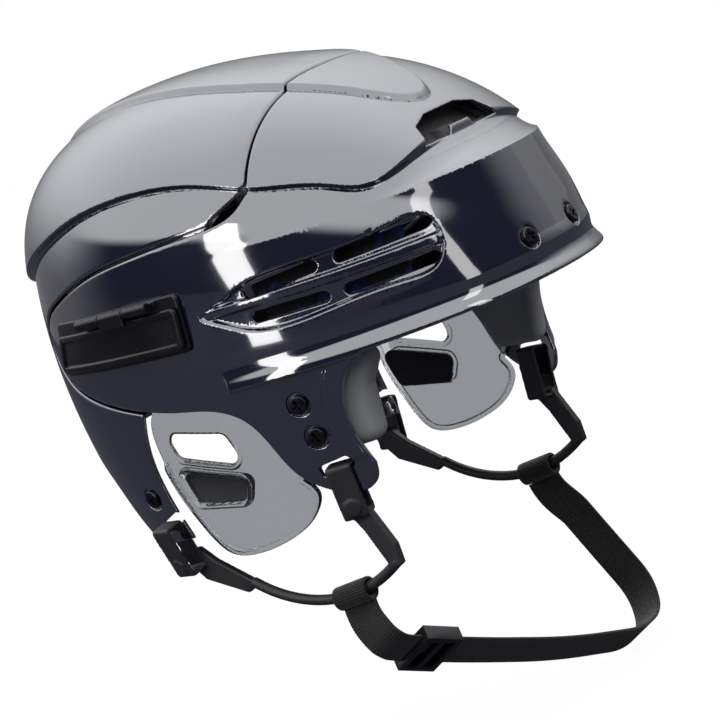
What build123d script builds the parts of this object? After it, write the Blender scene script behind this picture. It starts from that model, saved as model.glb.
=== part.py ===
from build123d import *
from functools import lru_cache
import math
import os

os.makedirs("parts", exist_ok=True)

# Ice hockey helmet, medium size. Front is -Y, the wearer's left is +X, up is +Z.
# The origin is at the middle of the head, on the tilted rim plane of the dome.

# Driving dimensions (mm, degrees)
HEAD = 100.0           # size of the shell: all its outlines are shares of this
TILT = 13.0            # nose-down lean of the dome
WALL = 3.0             # shell wall
LOBE_RISE = 3.5        # crown lobes stand this proud of the dome
RIDGE_RISE = 6.0       # centre ridge stands this proud of the dome
MARGIN_RISE = 1.8      # raised band along the temple edge
MARGIN_WIDTH = 9.0
RECESS_DEPTH = 2.6     # side vent pocket, a little less than the wall
BAR_WIDTH = 4.5        # bar between the two rows of vent slots
BAR_SINK = 0.8
SLOT_WIDTH = 5.5
SEAT_GAP = 0.3         # running and seating clearance between pieces
SEAM_GAP = 1.2         # open groove where the front shell laps the rear shell
TRAVEL = 10.0          # size adjustment: the rear shell draws back this far
OVER = 220.0           # overrun of every cutting prism
PIN_FIT = 0.05         # radial clearance of a pin or screw in its hole

SCREW_RADIUS = 2.0
HEAD_RADIUS = 4.6
HEAD_HEIGHT = 2.2
HEAD_ROUND = 1.0
POCKET_RADIUS = 5.8
POCKET_DEPTH = 1.2
NUT_RADIUS = 5.2
NUT_HEIGHT = 2.2

PAD = 13.0             # liner foam
THIN_PAD = 8.0         # foam behind the side vents
CHANNEL = 4.0          # air channels in the foam, behind the vents
GUARD_WALL = 2.0       # clear ear guard
GUARD_RIM = 2.6        # width of the guard's outstanding rim
GUARD_RIM_RISE = 2.2
INSERT_WALL = 1.4

LATCH_BASE = 2.0       # latch plate on the wing
LATCH_LEVER = 2.4      # flip lever on the plate
LATCH_GAP = 0.4
KNUCKLE_RADIUS = 2.6
KNUCKLE_LENGTH = 16.0
KNUCKLE_GAP = 0.4
HINGE_PIN_RADIUS = 1.1
RACK_LENGTH = 26.0
RACK_HEIGHT = 8.0
RACK_PITCH = 2.6

WEB_WIDTH = 20.0       # chin strap webbing
WEB = 1.6
SLING_ROD = 2.6        # radius of the sling's lower arc
SLING_LUG = 2.1        # half thickness of the lugs that carry the arc
SLING_BAND = 1.8
SLING_BAND_WIDTH = 13.0
BUTTON_RADIUS = 4.2
SLOT_LENGTH = 17.0     # strap slots in the shells
SLOT_HEIGHT = 5.6
LOOP_SLACK = 1.6       # play of the strap's loop round the sling
SLIDER_BAR = 3.0
SLIDER_WALL = 3.2
STRAP_LEAN = 28.0      # the strap stands forward of hanging straight down

# Proportions of the dome, as shares of HEAD
HALF_WIDTH_share = 1.06
FRONT_share = 1.31
REAR_share = 1.42
CROWN_share = 0.86
SKIRT_share = 1.36
PLAN_POWER = 2.45
SIDE_POWER = 2.4
FRONT_POWER = 1.75
REAR_POWER = 2.55
EGG_share = 0.05
NAPE_share = 0.22
CHEEK_share = 0.06
FADE_share = 1.10
TOP_TURN = 87.4        # the dome's uppermost section, in degrees up its side

# Outlines in the side plane as (y, z) shares of HEAD: straight runs and bends, end to end
FRONT_RUN_shares = [
    ("line", [(-0.40, 1.3), (-1.7, 1.3), (-1.7, -0.41), (-0.78, -0.42)]),
    ("bend", [(-0.78, -0.42), (-0.64, -0.45), (-0.55, -0.54), (-0.50, -0.72), (-0.53, -0.94)]),
    ("bend", [(-0.53, -0.94), (-0.505, -1.02), (-0.42, -1.06), (-0.30, -1.02), (-0.16, -0.90),
              (-0.09, -0.74), (-0.01, -0.59), (0.12, -0.51), (0.34, -0.465), (0.60, -0.405),
              (0.86, -0.315), (1.06, -0.20), (1.15, -0.05), (1.10, 0.08), (0.93, 0.17),
              (0.64, 0.255), (0.34, 0.295), (0.06, 0.312), (-0.17, 0.322), (-0.31, 0.36),
              (-0.40, 0.46)]),
    ("line", [(-0.40, 0.46), (-0.40, 1.3)]),
]
REAR_RUN_shares = [
    ("line", [(-0.58, 1.3), (-0.58, 0.54), (-0.20, 0.36), (0.06, 0.16), (0.06, -0.12),
              (0.44, -0.26), (0.55, -0.42)]),
    ("bend", [(0.55, -0.42), (0.615, -0.60), (0.625, -0.80), (0.57, -1.08)]),
    ("line", [(0.57, -1.08), (0.84, -1.10)]),
    ("bend", [(0.84, -1.10), (0.96, -0.93), (1.08, -0.72), (1.24, -0.60), (1.45, -0.555),
              (1.8, -0.55)]),
    ("line", [(1.8, -0.55), (1.8, 1.3), (-0.58, 1.3)]),
]
LOBE_shares = [(-1.4, 1.3), (-0.95, 0.50), (-1.02, 0.36), (-0.95, 0.28), (-0.75, 0.33),
               (-0.41, 0.43), (-0.12, 0.52), (0.34, 0.57), (0.61, 0.54), (0.86, 0.47),
               (1.15, 0.36), (1.7, 0.16), (1.7, 1.3)]
WHOLE_shares = [(-1.8, -1.6), (1.8, -1.6), (1.8, 1.6), (-1.8, 1.6)]
MARGIN_ZONE_shares = [(-0.69, -0.86), (-0.27, -0.86), (-0.27, -0.38), (-0.69, -0.38)]
RECESS_shares = [(0.00, -0.055), (-0.24, 0.03), (-1.07, 0.075), (-1.10, -0.17), (-0.62, -0.19),
                 (-0.22, -0.175)]
SLOT_shares = [((-0.27, -0.01), (-0.60, 0.015)), ((-0.73, 0.02), (-1.04, 0.03)),
               ((-0.27, -0.13), (-0.61, -0.135)), ((-0.73, -0.135), (-1.05, -0.13))]
GUARD_RUN_shares = [
    ("line", [(-0.42, -0.50), (-0.20, -0.42), (0.46, -0.38)]),
    ("bend", [(0.46, -0.38), (0.56, -0.48), (0.585, -0.64), (0.56, -0.84), (0.475, -1.08)]),
    ("bend", [(0.475, -1.08), (0.40, -1.19), (0.23, -1.225), (0.02, -1.19), (-0.15, -1.10),
              (-0.205, -1.00), (-0.165, -0.93)]),
    ("line", [(-0.165, -0.93), (-0.25, -0.85), (-0.42, -0.85), (-0.42, -0.50)]),
]
GUARD_RIM_ZONE_shares = [(-0.22, -0.99), (0.20, -0.99), (0.20, -0.70), (0.64, -0.70),
                         (0.64, -1.27), (-0.22, -1.27)]
UPPER_WINDOW_shares = [(0.50, -0.55), (0.16, -0.62), (0.11, -0.79), (0.47, -0.68)]
LOWER_WINDOW_shares = [(0.51, -0.75), (0.14, -0.86), (0.19, -0.96), (0.47, -0.92)]
TEMPLE_PAD_shares = [(-0.72, -0.40), (-0.14, -0.40), (-0.12, -0.62), (-0.24, -0.86),
                     (-0.56, -0.86), (-0.60, -0.60)]
SIDE_PAD_shares = [(0.02, 0.42), (0.62, 0.42), (0.62, -0.06), (0.14, -0.06)]
REAR_SIDE_PAD_shares = [(0.70, -0.46), (1.02, -0.42), (0.98, -0.74), (0.84, -0.96), (0.70, -0.96)]
VENT_PAD_shares = [(-0.26, 0.08), (-0.94, 0.12), (-0.94, -0.22), (-0.26, -0.20)]

PAD_CORNER_share = 0.07

# Outlines seen from above, as (x, y) shares of HEAD
RIDGE_shares = [(0, -0.88), (0.10, -0.855), (0.19, -0.77), (0.27, -0.63), (0.37, -0.40),
                (0.39, -0.05), (0.36, 0.40), (0.29, 0.85), (0.15, 1.17), (0, 1.24)]
CROWN_PAD_shares = [(-0.46, -0.26), (0.46, -0.26), (0.46, 0.52), (-0.46, 0.52)]
FRONT_PAD_shares = [(-0.44, -1.06), (0.44, -1.06), (0.44, -0.62), (-0.44, -0.62)]
CROWN_PAD_FLOOR_share = 0.21

# Outlines seen from the front, as (x, z) shares of HEAD
VENT_shares = [(-0.33, 0.335), (-0.11, 0.335), (-0.08, 0.375), (0.08, 0.375), (0.11, 0.335),
               (0.33, 0.335), (0.27, 0.425), (0.14, 0.46), (-0.14, 0.46), (-0.27, 0.425)]
BROW_PAD_shares = [(-0.38, -0.30), (0.38, -0.30), (0.38, 0.16), (-0.38, 0.16)]
NAPE_PAD_shares = [(-0.40, -0.44), (0.40, -0.44), (0.40, 0.14), (-0.40, 0.14)]

# The brow block: height, front reach and half width of its levels, as shares of HEAD
BROW_LEVEL_shares = [(-0.43, 1.36, 1.075), (-0.34, 1.32, 1.045), (-0.28, 1.33, 1.045),
                     (0.195, 1.22, 1.01), (0.275, 1.05, 0.93)]
BROW_POWER = 2.25

# Fixings as (y, z) or (x, z) shares of HEAD
BROW_SCREW_share = (0.205, -0.215)
SIDE_SCREW_shares = [(-0.31, -0.575), (-0.33, -0.745)]
REAR_SCREW_share = (0.74, -0.85)
FLAP_SLOT_share = (-0.36, -0.905)
REAR_SLOT_share = (0.68, -0.985)
LATCH_PLATE_shares = [(0.09, 0.03), (0.93, 0.03), (1.01, -0.155), (0.12, -0.175)]
LATCH_BASE_shares = [(0.075, 0.09), (0.95, 0.09), (1.03, -0.175), (0.105, -0.195)]
LATCH_CORNER_share = 0.03
LATCH_HINGE_share = (0.46, 0.065)
WING_STATION_shares = (0.04, 0.28, 0.52, 0.76, 1.00, 1.08)
WING_LEVEL_shares = (-0.24, -0.16, -0.08, 0.00, 0.06, 0.12)
RACK_share = (0.42, -0.065)
BAR_shares = ((-0.03, -0.057), (-1.09, -0.055))
SLING_CENTRE_share = (-0.08, -0.82)
SLING_ARC_share = 0.71
SLING_FRONT_ANGLE = 33.0
SLING_REAR_ANGLE = 40.0
SLING_SIDE_share = 0.905
LOOP_DROP_share = 0.235
FRONT_LUG_shares = [(-0.30, -1.13), (-0.42, -1.13), (-0.50, -1.33), (-0.50, -1.43), (-0.44, -1.455),
                    (-0.36, -1.24)]
REAR_LUG_shares = [(0.615, -1.14), (0.745, -1.14), (0.63, -1.30), (0.41, -1.41), (0.345, -1.37),
                   (0.54, -1.22)]
STRAP_ANGLE = 7.3      # where the strap's loops sit on the sling's arc, forward of its lowest point
STRAP_shares = [(-0.905, 0.05), (-0.945, 0.16), (-0.985, 0.30), (-0.55, 0.535), (0.00, 0.80),
                (0.50, 0.975), (0.72, 0.965), (0.86, 0.80), (0.88, 0.42), (0.905, 0.05)]
STRAP_BEND_share = 0.45
LEAN_DEPTH_share = 0.30
SLIDER_PLACE_share = 0.48


def dome_extents(z, off):
    """Half width, front reach and rear reach of the dome at height z of its own tilted frame."""
    crown = CROWN_share * HEAD + off
    up = min(max(z / crown, 0), 1)
    down = max(-z / (FADE_share * HEAD), 0)
    width = (HALF_WIDTH_share * HEAD + off) * (1 - up ** SIDE_POWER) ** (1 / SIDE_POWER)
    front = (FRONT_share * HEAD + off) * (1 - up ** FRONT_POWER) ** (1 / FRONT_POWER)
    rear = (REAR_share * HEAD + off) * (1 - up ** REAR_POWER) ** (1 / REAR_POWER)
    return width * (1 - CHEEK_share * down ** 2), front, rear * (1 - NAPE_share * down ** 2)


def plan_point(angle, width, front, rear, power):
    """Point of an egg-shaped superellipse at an angle."""
    across, along = math.cos(angle), math.sin(angle)
    y = math.copysign(abs(along) ** (2 / power), along) * (rear if along > 0 else front)
    x = math.copysign(abs(across) ** (2 / power), across) * width
    return x * (1 + EGG_share * y / (REAR_share * HEAD)), y


def dome_section(z, off, drawn, steps=20):
    """One level of the dome, a closed face at height z, with its rear half drawn in."""
    width, front, rear = dome_extents(z, off)
    if drawn:
        rear = min(rear, dome_extents(z - drawn * math.sin(math.radians(TILT)), off)[2])
    points = []
    for i in range(steps):
        x, y = plan_point(2 * math.pi * i / steps, width, front, rear, PLAN_POWER)
        if y > 0 and drawn:
            y -= min(drawn, y / 2)
        points.append((x, y, z))
    return make_face(Spline(*points, periodic=True))


@lru_cache(maxsize=None)
def dome(off, drawn=0.0, levels=7):
    """Solid dome, grown or shrunk by off, leaning forward."""
    skirt = SKIRT_share * HEAD
    crown = CROWN_share * HEAD + off
    heights = [skirt * (i / 4 - 1) for i in range(4)]
    heights += [crown * math.sin(math.radians(TOP_TURN * i / levels)) for i in range(levels + 1)]
    return loft([dome_section(z, off, drawn) for z in heights]).rotate(Axis.X, TILT)


def nested(off):
    """Dome that stays inside its neighbour all the way along the size adjustment."""
    return dome(off, TRAVEL)


@lru_cache(maxsize=None)
def sheet(outside, inside, drawn=0.0):
    """Hollow dome between two offsets, open at the bottom."""
    outer, inner = [dome(off, drawn).faces().sort_by(Axis.Z) for off in (outside, inside)]
    rim = Face(outer[0].outer_wire(), [inner[0].outer_wire()])
    return Solid(Shell([rim, *outer[1:], *inner[1:]]))


@lru_cache(maxsize=None)
def side_spot(place_share):
    """Plane on the left of the dome, facing outwards, with its x running backwards."""
    beam = Axis((OVER, place_share[0] * HEAD, place_share[1] * HEAD), (-1, 0, 0))
    point, normal = dome(0).find_intersection_points(beam)[0]
    return Plane(origin=point, x_dir=Vector(0, 0, 1).cross(normal), z_dir=normal)


def brow_reach(z):
    """Front reach and half width of the brow block's face at a height."""
    low, high = BROW_LEVEL_shares[2], BROW_LEVEL_shares[3]
    share = (z / HEAD - low[0]) / (high[0] - low[0])
    return [HEAD * (low[i] + share * (high[i] - low[i])) for i in (1, 2)]


def brow_spot(place_share):
    """Plane on the brow's face, facing forwards."""
    x, z = place_share[0] * HEAD, place_share[1] * HEAD

    def spot(across, height):
        front, width = brow_reach(height)
        y = -front * (1 - (abs(across) / width) ** BROW_POWER) ** (1 / BROW_POWER)
        return Vector(across, y, height)

    sideways = spot(x + WALL, z) - spot(x - WALL, z)
    upwards = spot(x, z + WALL) - spot(x, z - WALL)
    return Plane(origin=spot(x, z), x_dir=sideways, z_dir=sideways.cross(upwards))


def sized(shares):
    return [(a * HEAD, b * HEAD) for a, b in shares]


def grown(points, amount):
    """Closed outline with each corner moved outwards along its mitre."""
    area = sum(a[0] * b[1] - b[0] * a[1] for a, b in zip(points, points[1:] + points[:1]))
    amount = math.copysign(amount, area * amount)
    moved = []
    for i, (u, v) in enumerate(points):
        before, after = points[i - 1], points[(i + 1) % len(points)]
        ins, outs = Vector(u - before[0], v - before[1]), Vector(after[0] - u, after[1] - v)
        ins, outs = ins.normalized(), outs.normalized()
        mitre = Vector(ins.Y + outs.Y, -ins.X - outs.X)
        mitre *= amount / max(1 + ins.dot(outs), 0.5)
        moved.append((u + mitre.X, v + mitre.Y))
    return moved


def run_face(runs, grow=0.0):
    """Face in the side plane from straight runs and bends, grown or shrunk all round."""
    corners = [point for _, shares in runs for point in sized(shares)[:-1]]
    corners = grown(corners, grow) if grow else corners
    corners.append(corners[0])
    edges, start = [], 0
    for kind, shares in runs:
        end = start + len(shares) - 1
        points = [(0, y, z) for y, z in corners[start:end + 1]]
        curve = Polyline(*points) if kind == "line" else Spline(*points)
        edges += curve.edges()
        start = end
    return make_face(edges)


def corner_face(shares, plane, radius=0.0, grow=0.0):
    """Face with straight sides and rounded corners."""
    points = grown(sized(shares), grow) if grow else sized(shares)
    face = plane * make_face(Polyline(*points, close=True))
    return fillet(face.vertices(), radius) if radius else face


def side_face(shares, radius=0.0, grow=0.0):
    return corner_face(shares, Plane.YZ, radius, grow)


def capsule(ends, width):
    """Slot-shaped face in the side plane between two places."""
    start, end = [Vector(*point) for point in sized(ends)]
    middle, reach = (start + end) * 0.5, end - start
    turn = math.degrees(math.atan2(reach.Y, reach.X))
    return Plane.YZ * Pos(middle.X, middle.Y) * Rot(0, 0, turn) * SlotCenterToCenter(reach.length, width)


def leftward(face):
    """Prism from the middle plane out past the left side."""
    return extrude(face, amount=OVER, dir=(1, 0, 0))


def drop(radius, top, bottom, plane):
    """Cylinder on a plane's normal between two heights."""
    size = top - bottom
    return plane * Pos(0, 0, bottom + size / 2) * Cylinder(radius, size)


def mirrored(solid):
    return mirror(solid, about=Plane.YZ)


def whole(half):
    """Both halves of a shell in one solid."""
    return half + mirrored(half)


def ridge_prism(grow):
    """Centre ridge seen from above."""
    half = sized(RIDGE_shares)
    points = half + [(-x, y) for x, y in reversed(half[1:-1])]
    face = make_face(Spline(*grown(points, grow), periodic=True))
    return extrude(face, amount=OVER)


@lru_cache(maxsize=None)
def crowned(off):
    """Left half of the dome with its crown lobes and centre ridge, all walls moved by off."""
    half = leftward(side_face(WHOLE_shares))
    raised = dome(LOBE_RISE + off) & leftward(side_face(LOBE_shares, 0, off))
    ridge = dome(RIDGE_RISE + off) & half & ridge_prism(off)
    return (dome(off) & half) + raised + ridge


def brow_block(off):
    """Solid brow with its flat ledge and flared lip, grown or shrunk by off."""
    levels = []
    for height_share, front_share, width_share in BROW_LEVEL_shares:
        z = height_share * HEAD + (off if height_share > 0 else 0)
        front, width = front_share * HEAD + off, width_share * HEAD + off
        turns = [math.pi * (1 + i / 20) for i in range(21)]
        points = [(*plan_point(a, width, front, front, BROW_POWER), z) for a in turns]
        levels.append(make_face(Spline(*points).edges() + Line(points[-1], points[0]).edges()))
    return loft(levels, ruled=True)


def screw_seats(spots, grip):
    """Flat pockets and holes for screws, cut into the outer side."""
    cuts = []
    for spot in spots:
        cuts.append(drop(POCKET_RADIUS, POCKET_RADIUS, -POCKET_DEPTH, spot))
        cuts.append(drop(SCREW_RADIUS + PIN_FIT, POCKET_RADIUS, -grip, spot))
    return cuts


def screw(spot, grip):
    """Pan-head screw whose head sits on its pocket's floor."""
    head = drop(HEAD_RADIUS, HEAD_HEIGHT - POCKET_DEPTH, -POCKET_DEPTH, spot)
    rim = head.edges().sort_by(lambda edge: (edge.center() - spot.origin).dot(spot.z_dir))[-1]
    head = chamfer(rim, HEAD_ROUND)
    return head + drop(SCREW_RADIUS, 0, -grip, spot)


def nut(spot, top):
    """Round nut on the inside of the wall."""
    body = drop(NUT_RADIUS, -top, -top - NUT_HEIGHT, spot)
    return body - drop(SCREW_RADIUS + PIN_FIT, 0, -top - NUT_HEIGHT - WALL, spot)


FRONT_FACE = run_face(FRONT_RUN_shares)
REAR_FACE = run_face(REAR_RUN_shares)
BROW_SPOT = brow_spot(BROW_SCREW_share)
SIDE_SPOTS = [side_spot(place) for place in SIDE_SCREW_shares]
REAR_SPOT = side_spot(REAR_SCREW_share)
INNER = WALL + SEAT_GAP                    # depth at which the liner starts
GUARD_DEPTH = INNER + GUARD_WALL
NUT_GRIP = INNER + NUT_HEIGHT + SEAT_GAP
SIDE_GRIP = GUARD_DEPTH + NUT_HEIGHT + SEAT_GAP


def strap_slot(place_share):
    """Cutter of a strap slot in a side wall."""
    return side_spot(place_share) * Box(SLOT_LENGTH, SLOT_HEIGHT, 4 * INNER)


def margin_band():
    """Raised band that follows the temple edge."""
    band = FRONT_FACE - run_face(FRONT_RUN_shares, -MARGIN_WIDTH)
    return sheet(MARGIN_RISE, -WALL / 2) & leftward(band & side_face(MARGIN_ZONE_shares))


def front_shell():
    """Front shell: brow, crown lobes, side wings and temple flaps in one moulding."""
    prism = leftward(FRONT_FACE)
    outer = (crowned(0) + brow_block(0)) & prism
    inner = (crowned(-WALL) + brow_block(-WALL)) & prism
    half = outer - inner - leftward(side_face(RECESS_shares, 2 * WALL))
    pocket = sheet(-RECESS_DEPTH, -RECESS_DEPTH - WALL)
    floor = pocket & leftward(side_face(RECESS_shares, 2 * WALL, WALL))
    bar = sheet(-BAR_SINK, -RECESS_DEPTH - WALL) & leftward(capsule(BAR_shares, BAR_WIDTH))
    half = half + [floor, bar, margin_band()]
    cuts = [leftward(capsule(ends, SLOT_WIDTH)) for ends in SLOT_shares]
    cuts.append(extrude(corner_face(VENT_shares, Plane.XZ), amount=OVER))
    cuts.append(leftward(rack_window()))
    cuts.append(strap_slot(FLAP_SLOT_share))
    cuts += screw_seats([BROW_SPOT] + SIDE_SPOTS, 2 * INNER)
    return whole(half - cuts)


def rear_shell():
    """Rear shell: its joggled rim runs under the front shell and slides there."""
    prism = leftward(REAR_FACE)
    lap = leftward(run_face(FRONT_RUN_shares, SEAM_GAP))
    lap_wall = leftward(run_face(FRONT_RUN_shares, SEAM_GAP + WALL))
    outer = (nested(-INNER) & prism) + ((crowned(0) & prism) - lap)
    inner = (nested(-INNER - WALL) & prism) + ((crowned(-WALL) & prism) - lap_wall)
    half = outer - inner - strap_slot(REAR_SLOT_share)
    return whole(half - screw_seats([REAR_SPOT], 2 * INNER))


def ear_guard():
    """Clear ear guard: windows, screw tab and an outstanding rim where it shows."""
    face = run_face(GUARD_RUN_shares)
    rim = (face - run_face(GUARD_RUN_shares, -GUARD_RIM)) & side_face(GUARD_RIM_ZONE_shares)
    guard = sheet(GUARD_RIM_RISE - INNER, -GUARD_DEPTH) & leftward(face)
    guard -= leftward(side_face(WHOLE_shares) - rim) - dome(-INNER)
    cuts = [leftward(side_face(window, 2 * GUARD_WALL))
            for window in (UPPER_WINDOW_shares, LOWER_WINDOW_shares)]
    cuts += [drop(SCREW_RADIUS + PIN_FIT, 0, -2 * INNER, spot) for spot in SIDE_SPOTS]
    return guard - cuts


def guard_insert():
    """Dark pane behind the ear guard's lower window."""
    depth = GUARD_DEPTH + SEAT_GAP
    pane = side_face(LOWER_WINDOW_shares, 2 * GUARD_WALL, GUARD_WALL)
    return sheet(-depth, -depth - INSERT_WALL) & leftward(pane)


def side_pad(shares, depth, thickness, drawn=0.0):
    """Foam pad on the left side, between two depths under the shell."""
    face = side_face(shares, PAD_CORNER_share * HEAD)
    return sheet(-depth, -depth - thickness, drawn) & leftward(face)


def nut_room(spot, grip):
    """Cutter of the room round a nut."""
    return drop(NUT_RADIUS + SEAT_GAP, 0, -grip - SEAT_GAP, spot)


def temple_pad():
    pad = side_pad(TEMPLE_PAD_shares, GUARD_DEPTH + SEAT_GAP, PAD)
    return pad - [nut_room(spot, SIDE_GRIP) for spot in SIDE_SPOTS]


def vent_pad():
    """Foam behind the side vents, with an air channel behind each row of slots."""
    depth = RECESS_DEPTH + INNER
    pad = side_pad(VENT_PAD_shares, depth, THIN_PAD)
    floor = dome(-depth - CHANNEL)
    for first, last in (SLOT_shares[:2], SLOT_shares[2:]):
        row = capsule((first[0], last[1]), SLOT_WIDTH + 2 * SEAT_GAP)
        pad -= leftward(row) - floor
    return pad


def rear_side_pad():
    room = nut_room(REAR_SPOT, NUT_GRIP + SEAT_GAP)
    return side_pad(REAR_SIDE_PAD_shares, INNER, THIN_PAD) - room


def end_pad(shares, reach):
    """Foam pad at the front or back, seen from the front."""
    face = corner_face(shares, Plane.XZ, PAD_CORNER_share * HEAD)
    return sheet(-INNER, -INNER - PAD) & extrude(face, amount=reach)


def brow_pad():
    rooms = [nut_room(BROW_SPOT, NUT_GRIP + WALL)]
    return end_pad(BROW_PAD_shares, OVER) - rooms - [mirrored(room) for room in rooms]


def crown_pad(shares, rise):
    """Foam pad under the crown."""
    face = corner_face(shares, Plane.XY, PAD_CORNER_share * HEAD)
    column = Pos(0, 0, CROWN_PAD_FLOOR_share * HEAD) * extrude(face, amount=OVER)
    return sheet(rise - INNER, -INNER - PAD) & column


def front_crown_pad():
    """Foam under the front of the crown, with an air channel behind the central vent."""
    vent = corner_face(VENT_shares, Plane.XZ, 0, SEAT_GAP)
    channel = extrude(vent, amount=OVER) - dome(-INNER - CHANNEL)
    return crown_pad(FRONT_PAD_shares, 0) - channel


def latch_hinge():
    """Plane of the latch's hinge: x along the pin, z outwards."""
    spot = side_spot(LATCH_HINGE_share)
    along = Vector(spot.x_dir.X, spot.x_dir.Y, 0)
    stand = LATCH_BASE + LATCH_GAP + KNUCKLE_RADIUS + SEAT_GAP
    level = Plane(origin=spot.origin, x_dir=along, z_dir=along.cross(Vector(0, 0, 1)))
    return level.offset(stand)


def knuckle(shift, hinge):
    barrel = Rot(0, 90, 0) * Cylinder(KNUCKLE_RADIUS, KNUCKLE_LENGTH)
    return hinge * Pos(shift, 0, 0) * barrel


def wing_slab(inside, outside):
    """Slab that follows the wing under the latch, between two offsets."""
    grid = [[side_spot((y, z)).offset(inside).origin for z in WING_LEVEL_shares]
            for y in WING_STATION_shares]
    return Solid.thicken(Face.make_surface_from_array_of_points(grid), outside - inside)


def latch_base():
    """Plate on the wing with the two outer hinge knuckles."""
    hinge = latch_hinge()
    outline = side_face(LATCH_BASE_shares, LATCH_CORNER_share * HEAD)
    plate = wing_slab(SEAT_GAP, LATCH_BASE) & leftward(outline)
    room = wing_slab(LATCH_BASE / 2, 4 * KNUCKLE_RADIUS)
    step = KNUCKLE_LENGTH + KNUCKLE_GAP
    for shift in (-step, step):
        foot = Pos(shift, 0, -KNUCKLE_RADIUS) * Box(KNUCKLE_LENGTH, KNUCKLE_RADIUS, 2 * KNUCKLE_RADIUS)
        plate = plate + [knuckle(shift, hinge), hinge * foot & room]
    bore = hinge * Rot(0, 90, 0) * Cylinder(HINGE_PIN_RADIUS + PIN_FIT, OVER)
    return plate - [bore, leftward(rack_window())]


def latch_lever():
    """Flip lever with its middle knuckle."""
    hinge = latch_hinge()
    inside, outside = LATCH_BASE + LATCH_GAP, LATCH_BASE + LATCH_GAP + LATCH_LEVER
    outline = side_face(LATCH_PLATE_shares, LATCH_CORNER_share * HEAD)
    lever = wing_slab(inside, outside) & leftward(outline)
    arm = Pos(0, -KNUCKLE_RADIUS, 0) * Box(KNUCKLE_LENGTH, 2 * KNUCKLE_RADIUS, 2 * KNUCKLE_RADIUS)
    lever = lever + [knuckle(0, hinge), hinge * arm & wing_slab(inside, 4 * KNUCKLE_RADIUS)]
    return lever - hinge * Rot(0, 90, 0) * Cylinder(HINGE_PIN_RADIUS + PIN_FIT, OVER)


def latch_pin():
    length = 3 * KNUCKLE_LENGTH + 2 * KNUCKLE_GAP
    return latch_hinge() * Rot(0, 90, 0) * Cylinder(HINGE_PIN_RADIUS, length)


def rack_window():
    """Slot in the wing that the size rack shows through, as long as its travel."""
    y, z = RACK_share[0] * HEAD, RACK_share[1] * HEAD
    room = Rectangle(RACK_LENGTH + TRAVEL + WALL, RACK_HEIGHT + WALL)
    return Plane.YZ * Pos(y + TRAVEL / 2, z) * room


def size_rack():
    """Toothed strip on the rear shell's hidden rim."""
    spot = side_spot(RACK_share)
    root, crest = -INNER - WALL, -2 * SEAT_GAP
    strip = Pos(0, 0, (root - WALL / 2) / 2) * Box(RACK_LENGTH, RACK_HEIGHT, -WALL / 2 - root)
    teeth = []
    count = int(RACK_LENGTH / RACK_PITCH)
    for i in range(count):
        shift = (i - (count - 1) / 2) * RACK_PITCH
        tooth = Box(RACK_PITCH / 2, RACK_HEIGHT, crest - root)
        teeth.append(Pos(shift, 0, (root + crest) / 2) * tooth)
    return spot * (strip + teeth) - nested(-INNER + SEAT_GAP / 3)


def strap_ring(place_share, lug_shares):
    """Loop of the sling round the bar below a strap slot, with its button and lug."""
    drop_length = LOOP_DROP_share * HEAD
    inner_width = WALL + 8 * SEAT_GAP + SLING_BAND
    low = place_share[1] - LOOP_DROP_share / 2 - (SLOT_HEIGHT / 2 - 5 * SEAT_GAP) / HEAD
    spot = side_spot((place_share[0], low))
    centre = spot.offset(-WALL / 2).origin
    frame = Plane(origin=centre, x_dir=spot.z_dir, z_dir=spot.x_dir * -1)
    hole = RectangleRounded(inner_width, drop_length, SLING_BAND / 2)
    band = RectangleRounded(inner_width + 2 * SLING_BAND, drop_length + 2 * SLING_BAND, SLING_BAND)
    ring = frame * extrude(band - hole, amount=SLING_BAND_WIDTH / 2, both=True)
    button = Pos(inner_width / 2 + SLING_BAND, -drop_length / 2 + BUTTON_RADIUS, 0)
    button *= Rot(0, 90, 0) * Cylinder(BUTTON_RADIUS, SLING_BAND)
    lug = Plane.YZ.offset(SLING_SIDE_share * HEAD) * make_face(Polyline(*sized(lug_shares), close=True))
    lug = extrude(lug, amount=SLING_LUG, both=True)
    return ring + frame * button + lug


def sling():
    """One-piece sling: front and rear loops joined by a round arc."""
    cy, cz = SLING_CENTRE_share[0] * HEAD, SLING_CENTRE_share[1] * HEAD
    centre = Plane.YZ.offset(SLING_SIDE_share * HEAD) * Pos(cy, cz)
    sweep_angle = SLING_FRONT_ANGLE + SLING_REAR_ANGLE
    arc = centre * CenterArc((0, 0), SLING_ARC_share * HEAD, -90 - SLING_FRONT_ANGLE, sweep_angle)
    rod = sweep(Plane(origin=arc @ 0, z_dir=arc % 0) * Circle(SLING_ROD), path=arc)
    front = strap_ring(FLAP_SLOT_share, FRONT_LUG_shares)
    rear = strap_ring(REAR_SLOT_share, REAR_LUG_shares)
    return rod + front + rear


def strap_place(across_share, depth_share):
    """Point of the strap, and the lean of the strap there."""
    depth = depth_share * HEAD
    share = min(depth_share / LEAN_DEPTH_share, 1)
    lean = math.radians(STRAP_ANGLE + (STRAP_LEAN - STRAP_ANGLE) * share * share * (3 - 2 * share))
    start = math.radians(STRAP_ANGLE)
    y = SLING_CENTRE_share[0] * HEAD - SLING_ARC_share * HEAD * math.sin(start)
    z = SLING_CENTRE_share[1] * HEAD - SLING_ARC_share * HEAD * math.cos(start)
    point = Vector(across_share * HEAD, y - depth * math.sin(lean), z - depth * math.cos(lean))
    return point, Vector(0, -math.cos(lean), math.sin(lean))


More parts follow.
